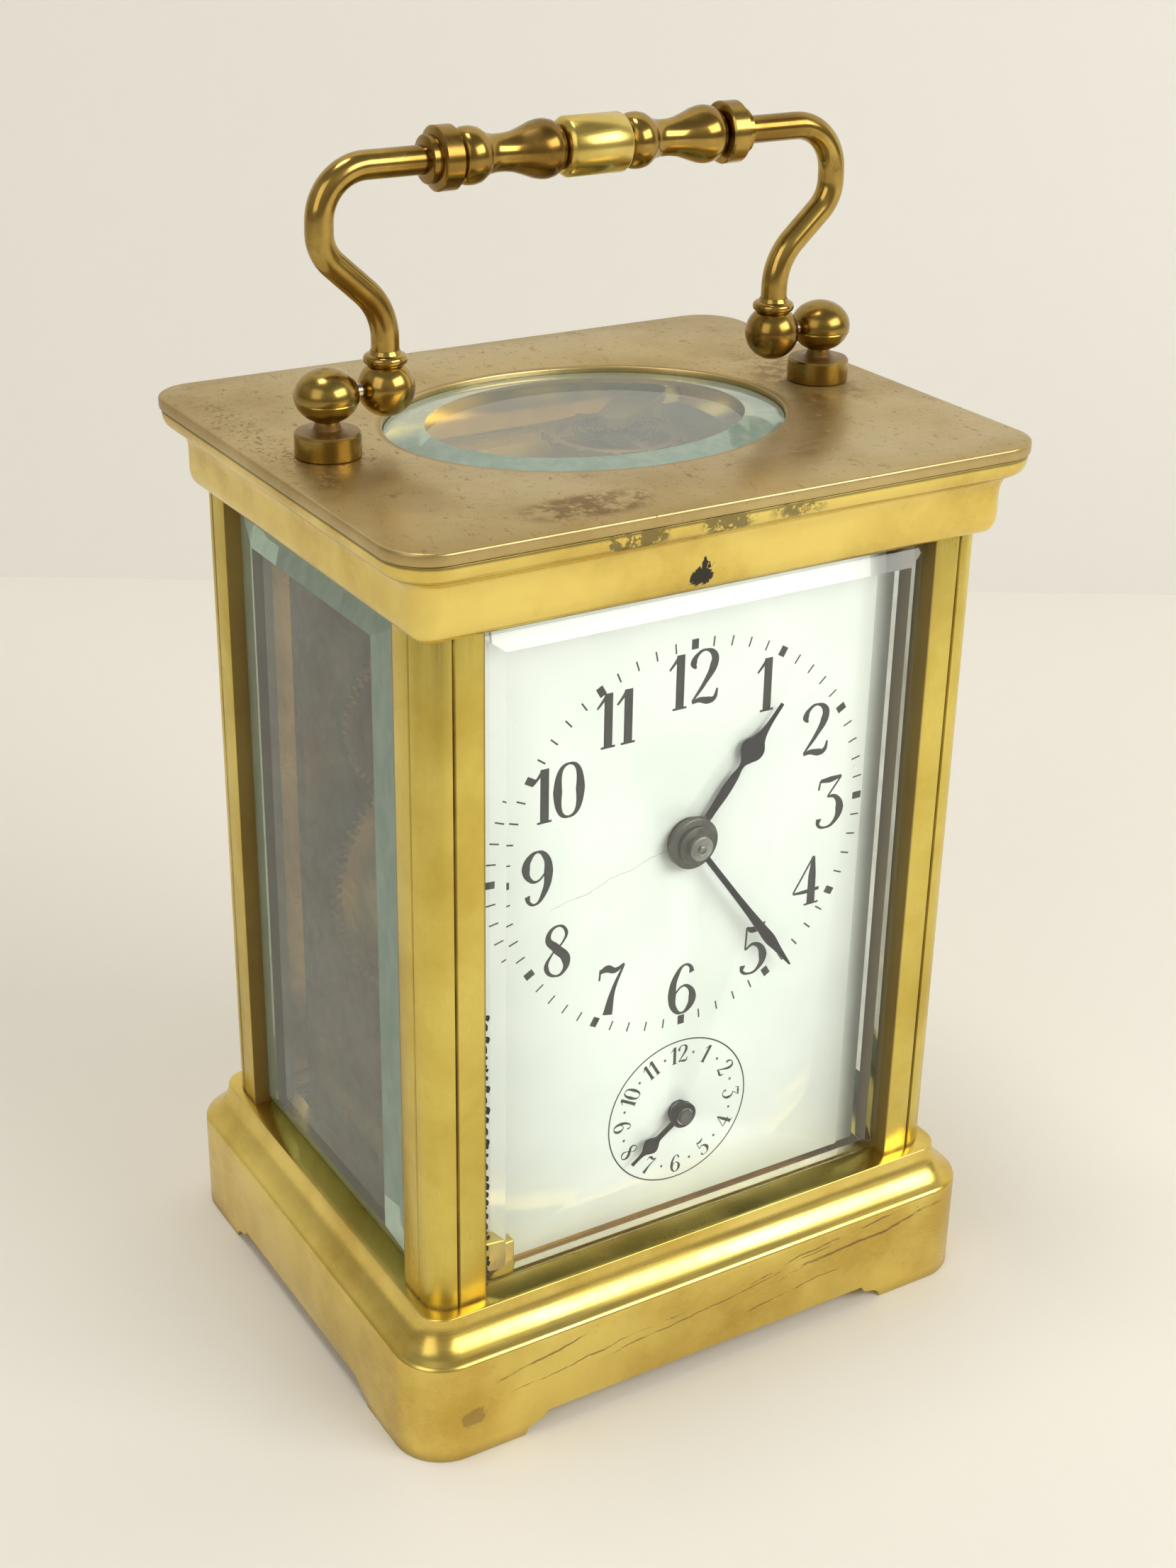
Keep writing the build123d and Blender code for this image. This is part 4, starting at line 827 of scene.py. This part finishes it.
def make_pane(name, low, high, outward_axis, sign, edge, bevel, wider):
    """A flat pane with a broad bevel round its outer face, its sides' bevel wider than its top's."""
    piece = block(name, low, high)
    only(piece)
    bpy.ops.object.mode_set(mode="EDIT")
    bpy.ops.mesh.select_all(action="DESELECT")
    bpy.ops.object.mode_set(mode="OBJECT")
    for face in piece.data.polygons:
        face.select = face.normal[outward_axis] * sign > 0.9
    bpy.ops.object.mode_set(mode="EDIT")
    back = [0, 0, 0]
    thick = high[outward_axis] - low[outward_axis]
    back[outward_axis] = -sign * (thick - edge) * MM
    bpy.ops.transform.translate(value=back)
    bpy.ops.mesh.inset(thickness=bevel * MM, depth=(thick - edge) * MM)
    across = 1 - outward_axis
    reach = (high[across] - low[across]) / 2 - bevel
    narrow = [1, 1, 1]
    narrow[across] = (reach - wider) / reach
    bpy.ops.transform.resize(value=narrow, center_override=(0, 0, 0))
    return outward(piece)


def make_panes():
    """The bevelled front and side glasses."""
    edge, bevel, wider = 0.35, 3.1, 1.1
    side_bevel, side_wider = 4.0, 3.6
    low, high = mm_box("front_glass")
    front = make_pane("front_glass_bevelled", low, high, 1, -1, edge, bevel, wider)
    placed(front, clear_glass, "case", "front_glass", slot="glass")
    low, high = mm_box("side_glasses")
    thick = 2.0
    inner_low, inner_high = (high[0] - thick, low[1], low[2]), (low[0] + thick, high[1], high[2])
    for name, first, last, sign in (
        ("side_glass_right", inner_low, high, 1),
        ("side_glass_left", low, inner_high, -1),
    ):
        piece = make_pane(name, first, last, 0, sign, edge, side_bevel, side_wider)
        placed(piece, side_glass, "case", "side_glasses", slot="glass")
        bevel_of(piece, lambda normal: 0.02 < abs(normal.y) or 0.02 < abs(normal.z))


def make_door():
    """The rear door's frame, a hollow rectangle with softened edges."""
    low, high = mm_box("door_frame")
    bar = 3.9
    piece = block("door_frame_bar", low, high)
    inner_low = (low[0] + bar, low[1] - 1, low[2] + bar)
    inner_high = (high[0] - bar, high[1] + 1, high[2] - bar)
    cut(piece, block("inner", inner_low, inner_high))
    placed(soften(piece, 0.3, 3, 30), case_brass, "rear_door", "door_frame", slot="case_brass")


def make_chips():
    """The dark, chipped edge of the front glass beside its left pillar."""
    glass_low = mm_box("front_glass")[0]
    lottery = random.Random(7)
    edge_x, top = -28.35, 56.0
    strokes, z = [], glass_low[2] + 1.0
    while z < top:
        reach = lottery.uniform(0.3, 1.1)
        width = lottery.uniform(0.25, 0.95)
        middle = (edge_x + width * 0.3, z + reach / 2, width * 0.6)
        strokes.append([(edge_x, z, width), middle, (edge_x, z + reach, 0.1)])
        z += reach + lottery.uniform(0.0, 0.9)
    placed(drawn("glass_edge_chips", strokes, glass_low[1] + 0.1), dial_ink, "case", slot="glass")


def make_corner_block():
    """The small brass block that holds the dial at its lower left corner."""
    low, high = (-26.4, -24.6, 18.1), (-23.4, -22.9, 22.2)
    piece = block("dial_corner_block", low, high)
    placed(soften(piece, 0.25, 3, 30), case_brass, "case", slot="case_brass")


def make_masks():
    """The two plain strips that close the gap between the dial and the side glasses."""
    reach, lap, front, back = 27.2, 0.4, dial_low[1] + 0.25, dial_low[1] + 0.85
    for side, name in ((-1, "dial_mask_left"), (1, "dial_mask_right")):
        inner, outer = sorted((side * (dial_high[0] - lap), side * reach))
        piece = block(name, (inner, front, dial_low[2]), (outer, back, dial_high[2]))
        placed(soften(piece, 0.12, 3, 30), mask_shaded, "case", slot="enamel")


# ---- the handle
def make_posts():
    """The two turned posts that the handle hangs between."""
    top = plate_high[2]
    stations = [(top, 3.45), (top + 0.15, 3.6), (top + 2.45, 3.6), (top + 2.7, 3.4), (top + 2.72, 1.9)]
    stations += [(top + 2.95, 1.5), (top + 3.6, 1.3), (top + 3.95, 1.4)]
    post_x, high, wide = 32.08, 2.95, 3.5
    ball = [(hinge_z - high * cos(radians(t)), wide * sin(radians(t))) for t in range(26, 180, 8)]
    seam = [(hinge_z - 0.62, 3.46), (hinge_z - 0.5, 3.41), (hinge_z - 0.38, 3.47)]
    below = [p for p in ball if p[0] < hinge_z - 0.7]
    above = [p for p in ball if p[0] > hinge_z - 0.3]
    stations += below + seam + above + [(hinge_z + high, 0.05)]
    right = turned("handle_post", stations, (post_x, 0, 0))
    left = mirrored(right, "handle_post_left")
    both = joined("handle_posts_turned", [right, left])
    placed(smooth(both, 38), post_brass, "case", "handle_posts", slot="handle_brass")


def make_arms():
    """The two bent arms of the handle, each with its ring and ball."""
    corners = [(arm_x, 119.6), (arm_x, 126.0), (32.35, 132.6), (32.2, grip_z), (20.0, grip_z)]
    rod = bent_rod("arm_rod", corners, (7.0, 4.5, 5.4), 1.52)
    ring = turned("arm_ring", [(119.7, 1.9)] + ring_round(120.7, 2.4, 0.6) + [(121.7, 1.6)], (arm_x, 0, 0))
    radius, pole = 3.15, 0.05
    turns = [radians(t) for t in range(0, 181, 9)]
    ball = [(hinge_z - radius * cos(t), max(radius * sin(t), pole)) for t in turns]
    ball = turned("arm_ball", ball, (arm_x, 0, 0))
    right = joined("handle_arm_right_bent", [rod, ring, ball])
    left = mirrored(right, "handle_arm_left_bent")
    placed(smooth(left, 50), handle_brass, "handle", "handle_arm_left", slot="handle_brass")
    placed(smooth(right, 50), handle_brass, "handle", "handle_arm_right", slot="handle_brass")


def ring_round(middle, radius, half):
    """Stations over a half-round ring."""
    return [
        (middle - half * cos(radians(t)), radius - half + half * sin(radians(t))) for t in range(0, 181, 18)
    ]


def make_grip():
    """The turned grip: collars at the ends, two vase-shaped balusters and a plain barrel between."""
    centre = (0, 0, grip_z)
    left = [(-20.3, 2.2), (-20.1, 2.5), (-19.3, 2.5), (-19.2, 3.1), (-19.0, 3.38)]
    left += [(-17.1, 3.38), (-16.9, 3.2)]
    off_centre = -0.4
    right = [(off_centre - along, radius) for along, radius in reversed(left)]
    collars = [turned("collar_a", left, centre, "X"), turned("collar_b", right, centre, "X")]
    both = joined("grip_collars_turned", collars)
    placed(both, handle_brass, "handle", "grip_collars", slot="handle_brass")
    vase = [(0, 2.2), (0.3, 2.75), (1.0, 3.0), (1.75, 3.05), (2.5, 2.9), (3.2, 2.45), (3.7, 2.15)]
    vase += [(4.6, 2.0), (5.6, 1.98), (6.8, 2.12), (8.0, 2.5), (9.2, 2.95), (10.0, 3.12), (10.6, 3.15)]
    vase += [(11.4, 3.0), (12.1, 2.6), (12.5, 2.2)]
    vases = []
    for name, start in (("vase_a", -16.6), ("vase_b", 3.9)):
        stations = [(start + along, radius) for along, radius in vase]
        vases.append(turned(name, stations, centre, "X", angle=60))
    both = joined("grip_balusters_turned", vases)
    placed(both, handle_brass, "handle", "grip_balusters", slot="handle_brass")
    barrel = [(-4.0, 2.4), (-3.85, 2.8), (-3.5, 3.05), (-3.3, 3.2), (3.3, 3.2), (3.6, 3.05), (3.8, 2.8)]
    piece = turned("grip_barrel_turned", barrel + [(3.9, 2.4)], centre, "X")
    placed(piece, grip_brass, "handle", "grip_barrel", slot="handle_brass")


# ---- the dial
digit_strokes = {
    "0": [[(0.28, 0.99, 0.03), (0.06, 0.5, 0.13), (0.28, 0.01, 0.03), (0.50, 0.5, 0.13), True]],
    "1": [
        [(0.20, 0.99, 0.12), (0.20, 0.02, 0.12)],
        [(-0.02, 0.74, 0.02), (0.07, 0.84, 0.04), (0.18, 0.97, 0.06)],
        [(0.06, 0.012, 0.03), (0.34, 0.012, 0.03)],
    ],
    "2": [
        [(0.12, 0.68, 0.02), (0.07, 0.78, 0.10), (0.16, 0.94, 0.05), (0.31, 0.99, 0.03)]
        + [(0.49, 0.86, 0.10), (0.48, 0.68, 0.12), (0.33, 0.42, 0.07), (0.06, 0.08, 0.03)],
        [(0.06, 0.06, 0.04), (0.20, 0.09, 0.07), (0.38, 0.05, 0.10), (0.50, 0.06, 0.07), (0.57, 0.24, 0.02)],
    ],
    "3": [
        [(0.05, 0.78, 0.02), (0.08, 0.96, 0.03)],
        [(0.08, 0.955, 0.05), (0.30, 0.95, 0.09), (0.54, 0.975, 0.04)],
        [(0.54, 0.97, 0.03), (0.26, 0.62, 0.03)],
        [(0.25, 0.62, 0.03), (0.43, 0.58, 0.06), (0.54, 0.34, 0.13), (0.43, 0.07, 0.06)]
        + [(0.25, 0.0, 0.03), (0.08, 0.08, 0.05), (0.09, 0.20, 0.09)],
    ],
    "4": [
        [(0.44, 0.98, 0.03), (0.02, 0.30, 0.03)],
        [(0.02, 0.29, 0.03), (0.30, 0.28, 0.06), (0.60, 0.29, 0.05)],
        [(0.44, 0.98, 0.05), (0.43, 0.60, 0.12), (0.43, 0.02, 0.13)],
        [(0.28, 0.012, 0.03), (0.60, 0.012, 0.03)],
    ],
    "5": [
        [(0.14, 0.98, 0.03), (0.24, 0.91, 0.09), (0.38, 0.91, 0.09), (0.54, 1.0, 0.02)],
        [(0.14, 0.98, 0.03), (0.12, 0.52, 0.03)],
        [(0.12, 0.52, 0.03), (0.31, 0.60, 0.05), (0.52, 0.32, 0.13), (0.40, 0.05, 0.05)]
        + [(0.24, 0.0, 0.03), (0.07, 0.09, 0.05), (0.08, 0.20, 0.09)],
    ],
    "6": [
        [(0.48, 0.80, 0.08), (0.45, 0.92, 0.05), (0.33, 0.99, 0.03), (0.16, 0.82, 0.08)]
        + [(0.07, 0.42, 0.13), (0.14, 0.10, 0.08), (0.29, 0.0, 0.03), (0.45, 0.10, 0.09)]
        + [(0.51, 0.28, 0.12), (0.43, 0.50, 0.06), (0.30, 0.56, 0.03), (0.12, 0.42, 0.03)],
    ],
    "7": [
        [(0.04, 0.76, 0.02), (0.06, 0.98, 0.03)],
        [(0.06, 0.93, 0.06), (0.20, 0.96, 0.11), (0.36, 0.89, 0.08), (0.55, 0.98, 0.03)],
        [(0.55, 0.97, 0.03), (0.33, 0.50, 0.07), (0.22, 0.02, 0.15)],
    ],
    "8": [
        [(0.29, 0.99, 0.03), (0.10, 0.80, 0.08), (0.26, 0.56, 0.12), (0.46, 0.30, 0.13)]
        + [(0.42, 0.08, 0.06), (0.27, 0.01, 0.03), (0.07, 0.20, 0.07), (0.18, 0.46, 0.03)]
        + [(0.40, 0.66, 0.03), (0.46, 0.84, 0.05), True],
    ],
}
digit_strokes["9"] = [[(0.57 - x, 1 - z, w) for x, z, w in digit_strokes["6"][0]]]
digit_room = {"1": 0.39}


def lettered(text, middle, height, turn=0.0):
    """The strokes of a number, centred at middle (x, z) in mm and turned clockwise by degrees."""
    room = [digit_room.get(digit, 0.60) for digit in text]
    start = -sum(room) / 2
    across, along = cos(radians(turn)), sin(radians(turn))
    strokes = []
    for digit, wide in zip(text, room):
        for stroke in digit_strokes[digit]:
            placed_stroke = []
            for point in stroke:
                if point is True:
                    placed_stroke.append(True)
                    continue
                x, z = (point[0] + start + 0.02) * height, (point[1] - 0.5) * height
                spot = (middle[0] + x * across + z * along, middle[1] - x * along + z * across)
                placed_stroke.append((*spot, max(point[2] * 1.38, 0.04) * height))
            strokes.append(placed_stroke)
        start += wide
    return strokes


def around(centre_z, radius, degrees_from_top):
    turn = radians(degrees_from_top)
    return (radius * sin(turn), centre_z + radius * cos(turn))


def make_dial():
    """The enamel plate with its two holes."""
    back_y = -21.5
    piece = block("dial_enamelled", dial_low, (dial_high[0], back_y, dial_high[2]))
    holes = [drum("hole", (0, -22, hands_z), 2.7, 6, "Y"), drum("hole_low", (0, -22, alarm_z), 1.3, 6, "Y")]
    cut(piece, *holes)
    soften(piece, 0.12, 2, 40)
    placed(piece, enamel, "case", "dial", slot="enamel")


def make_print():
    """The minute ring, the numbers, and the small alarm ring, as ink on the enamel."""
    face = dial_low[1] - 0.004
    ring, tick, numeral_ring, numeral_height = 23.77, 1.2, 19.65, 6.5
    alarm_numbers, alarm_height, alarm_ring = 7.75, 2.35, 9.64
    fine, bold, dot_half, dot_width = 0.2, 0.9, 0.14, 0.32
    strokes = []
    for minute in range(60):
        width = bold if minute % 5 == 0 else fine
        inner = around(hands_z, ring - tick / 2, minute * 6)
        outer = around(hands_z, ring + tick / 2, minute * 6)
        strokes.append([(*inner, width), (*outer, width)])
    for hour in range(1, 13):
        strokes += lettered(str(hour), around(hands_z, numeral_ring, hour * 30), numeral_height)
        turn = hour * 30 % 360
        lean = turn - 180 if 90 < turn < 270 else turn
        strokes += lettered(str(hour), around(alarm_z, alarm_numbers, turn), alarm_height, lean)
        dot = around(alarm_z, alarm_numbers, turn + 15)
        ends = (dot[0] - dot_half, dot[0] + dot_half)
        strokes.append([(end, dot[1], dot_width) for end in ends])
    circle = [(*around(alarm_z, alarm_ring, quarter), 0.18) for quarter in (0, 90, 180, 270)]
    strokes.append(circle + [True])
    placed(drawn("dial_print", strokes, face), dial_ink, "case", slot="enamel")


# ---- the hands
def make_hand(name, body, centre_z, bearing, blade, sides, boss, bare):
    """One hand: its flat blade from its back side to its front, its turned boss and its bare middle."""
    blade = pointer(name + "_blade", (0, centre_z), bearing, blade, *sides)
    boss = flipped(turned(name + "_boss", boss, (0, 0, centre_z), "Y"))
    piece = joined(name + "_hand_blued", [blade, boss])
    placed(piece, hand_steel, body, name + "_hand", slot="blued_steel")
    bare_middle(piece, centre_z, bare)


def make_hands():
    """The hour and minute hands with their collet, and the alarm hand on its own ring."""
    blade = [(2.2, 0.36), (4.5, 0.4), (6.6, 0.52), (8.6, 0.42), (10.4, 0.2), (11.1, 0.7)]
    blade += [(12.0, 1.45), (12.9, 1.5), (14.0, 0.7), (15.2, 0.3), (18.6, 0.07)]
    boss = [(23.35, 3.05), (23.4, 3.1), (24.15, 3.1), (24.25, 2.95)]
    make_hand("hour", "hour_wheel", hands_z, 38.5, blade, (-23.35, -23.75), boss, 3.2)
    blade = [(1.8, 0.28), (6.0, 0.29), (12.0, 0.36), (16.6, 0.54), (18.6, 0.62), (20.2, 0.42), (23.7, 0.06)]
    boss = [(24.36, 2.3), (24.4, 2.35), (24.8, 2.35), (24.86, 2.25)]
    make_hand("minute", "minute_arbor", hands_z, 144, blade, (-24.4, -24.8), boss, 2.4)
    washer = [(24.85, 1.35), (24.95, 1.48), (25.6, 1.48), (25.72, 1.36), (25.72, 0.78), (25.66, 0.72)]
    washer += [(25.66, 0.5), (25.9, 0.46), (25.96, 0.3)]
    piece = flipped(turned("hand_collet_turned", washer, (0, 0, hands_z), "Y"))
    placed(piece, collet_steel, "minute_arbor", "hand_collet", slot="steel")
    blade = [(1.2, 0.24), (3.3, 0.22), (4.2, 0.3), (4.8, 0.78), (5.4, 1.05), (6.0, 0.7), (6.6, 0.2)]
    boss = [(23.5, 1.6), (23.55, 1.66), (24.2, 1.66), (24.3, 1.5), (24.3, 0.95), (24.8, 0.9), (24.9, 0.7)]
    make_hand("alarm", "alarm_setting", alarm_z, 234, blade + [(8.5, 0.06)], (-23.6, -24.0), boss, 0.98)


def bare_middle(piece, centre_z, radius):
    """Gives a hand's round middle the plain finish, up to a radius from its centre."""
    piece.data.materials.append(boss_steel)
    for face in piece.data.polygons:
        x, z = face.center.x / MM, face.center.z / MM - centre_z
        if x * x + z * z < radius * radius:
            face.material_index = 1


def flipped(piece):
    """Turns a piece made towards the back so that it stands out at the front."""
    piece.scale = (1, -1, 1)
    return smooth(outward(settle(piece)), 38)


# ---- the camera, the floor and the light
def make_camera():
    """The camera's place, target, lens and slight roll."""
    lens = bpy.data.cameras.new("camera")
    lens.lens, lens.sensor_width = 52.84, 36.0
    lens.clip_start, lens.clip_end = 0.01, 20.0
    camera = added("camera", lens)
    place = Vector((-131.205, -215.727, 185.710)) * MM
    target = Vector((0.78, -0.50, 64.87)) * MM
    look = (target - place).to_track_quat("-Z", "Y")
    roll = Matrix.Rotation(radians(1.086), 3, "Z").to_quaternion()
    camera.rotation_mode = "QUATERNION"
    camera.rotation_quaternion = look @ roll
    camera.location = place
    bpy.context.scene.camera = camera


def stage_finish(name, near_colour, far_colour):
    f = Finish(name)
    f.place()
    f.set(base_color=f.mix(f.noise(0.004, 2.0, 0.5), near_colour, far_colour), roughness=0.9)
    f.bump(f.noise(0.6, 3.0, 0.6, seed=3.0), 0.08, 0.3)
    return f.material


def make_stage():
    """A pale floor and an upright pale backdrop behind the clock."""
    deselect()
    bpy.ops.mesh.primitive_plane_add(size=1)
    floor = started("floor")
    floor.scale = (3.0, 3.0, 1)
    settle(floor)
    floor.data.materials.append(stage_finish("floor_pale", colour(238, 234, 227), colour(232, 228, 221)))
    back = block("backdrop", (-1500, 240, 0), (1500, 260, 1500))
    back.rotation_euler = (0, 0, radians(-31))
    settle(back)
    back.data.materials.append(stage_finish("backdrop_pale", colour(238, 237, 233), colour(232, 231, 226)))


def make_light(name, place, target, size, power, tint):
    lamp = bpy.data.lights.new(name, "AREA")
    lamp.shape = "RECTANGLE"
    lamp.size, lamp.size_y = size
    lamp.energy = power
    lamp.color = tint
    holder = added(name, lamp)
    holder.location = place
    holder.rotation_mode = "QUATERNION"
    holder.rotation_quaternion = (Vector(target) - Vector(place)).to_track_quat("-Z", "Y")


def make_world():
    """A soft room: pale half-way up, darker overhead, and warmer round the horizon."""
    world = bpy.data.worlds.new("room")
    world.use_nodes = True
    bpy.context.scene.world = world
    tree = world.node_tree
    where = tree.nodes.new("ShaderNodeTexCoord")
    apart = tree.nodes.new("ShaderNodeSeparateXYZ")
    ramp = tree.nodes.new("ShaderNodeValToRGB")
    tree.links.new(where.outputs["Generated"], apart.inputs[0])
    tree.links.new(apart.outputs["Z"], ramp.inputs[0])
    stops = ramp.color_ramp.elements
    stops[0].position, stops[0].color = 0.0, (0.55, 0.48, 0.38, 1)
    stops[1].position, stops[1].color = 1.0, (0.55, 0.54, 0.50, 1)
    stops.new(0.3).color = (0.80, 0.74, 0.64, 1)
    stops.new(0.55).color = (1.0, 0.98, 0.92, 1)
    stops.new(0.8).color = (0.6, 0.6, 0.56, 1)
    tree.links.new(ramp.outputs[0], tree.nodes["Background"].inputs["Color"])
    tree.nodes["Background"].inputs["Strength"].default_value = 0.5


bpy.context.scene.view_settings.view_transform = "Standard"
make_camera()
make_stage()
make_world()
make_light("window", (0.43, -0.72, 0.56), (0, 0, 0.07), (0.7, 0.42), 5.2, (1.0, 0.995, 0.95))
make_light("fill", (-0.7, -0.35, 0.5), (0, 0, 0.06), (0.5, 0.6), 1.3, (1.0, 0.97, 0.94))
make_light("ceiling", (-0.15, 0.05, 0.9), (0, 0, 0.1), (0.22, 0.22), 1.8, (1.0, 0.97, 0.9))

finish_of_slot = {
    "case_brass": case_brass,
    "plate_brass": plate_brass,
    "handle_brass": handle_brass,
    "movement_brass": movement_brass,
    "steel": steel,
    "blued_steel": hand_steel,
    "glass": clear_glass,
    "enamel": enamel,
    "spring_steel": spring_steel,
}
for row in frame["record"]["subparts"]:
    node = frame["nodes"][row["node"]]
    node.data.materials.clear()
    node.data.materials.append(finish_of_slot[row["material_slot"]])

make_base()
make_pillars()
make_cornice()
make_top_plate()
make_top_glass()
make_panes()
make_chips()
make_corner_block()
make_masks()
make_door()
make_posts()
make_arms()
make_grip()
make_dial()
make_print()
make_hands()

deselect()
bpy.context.view_layer.update()
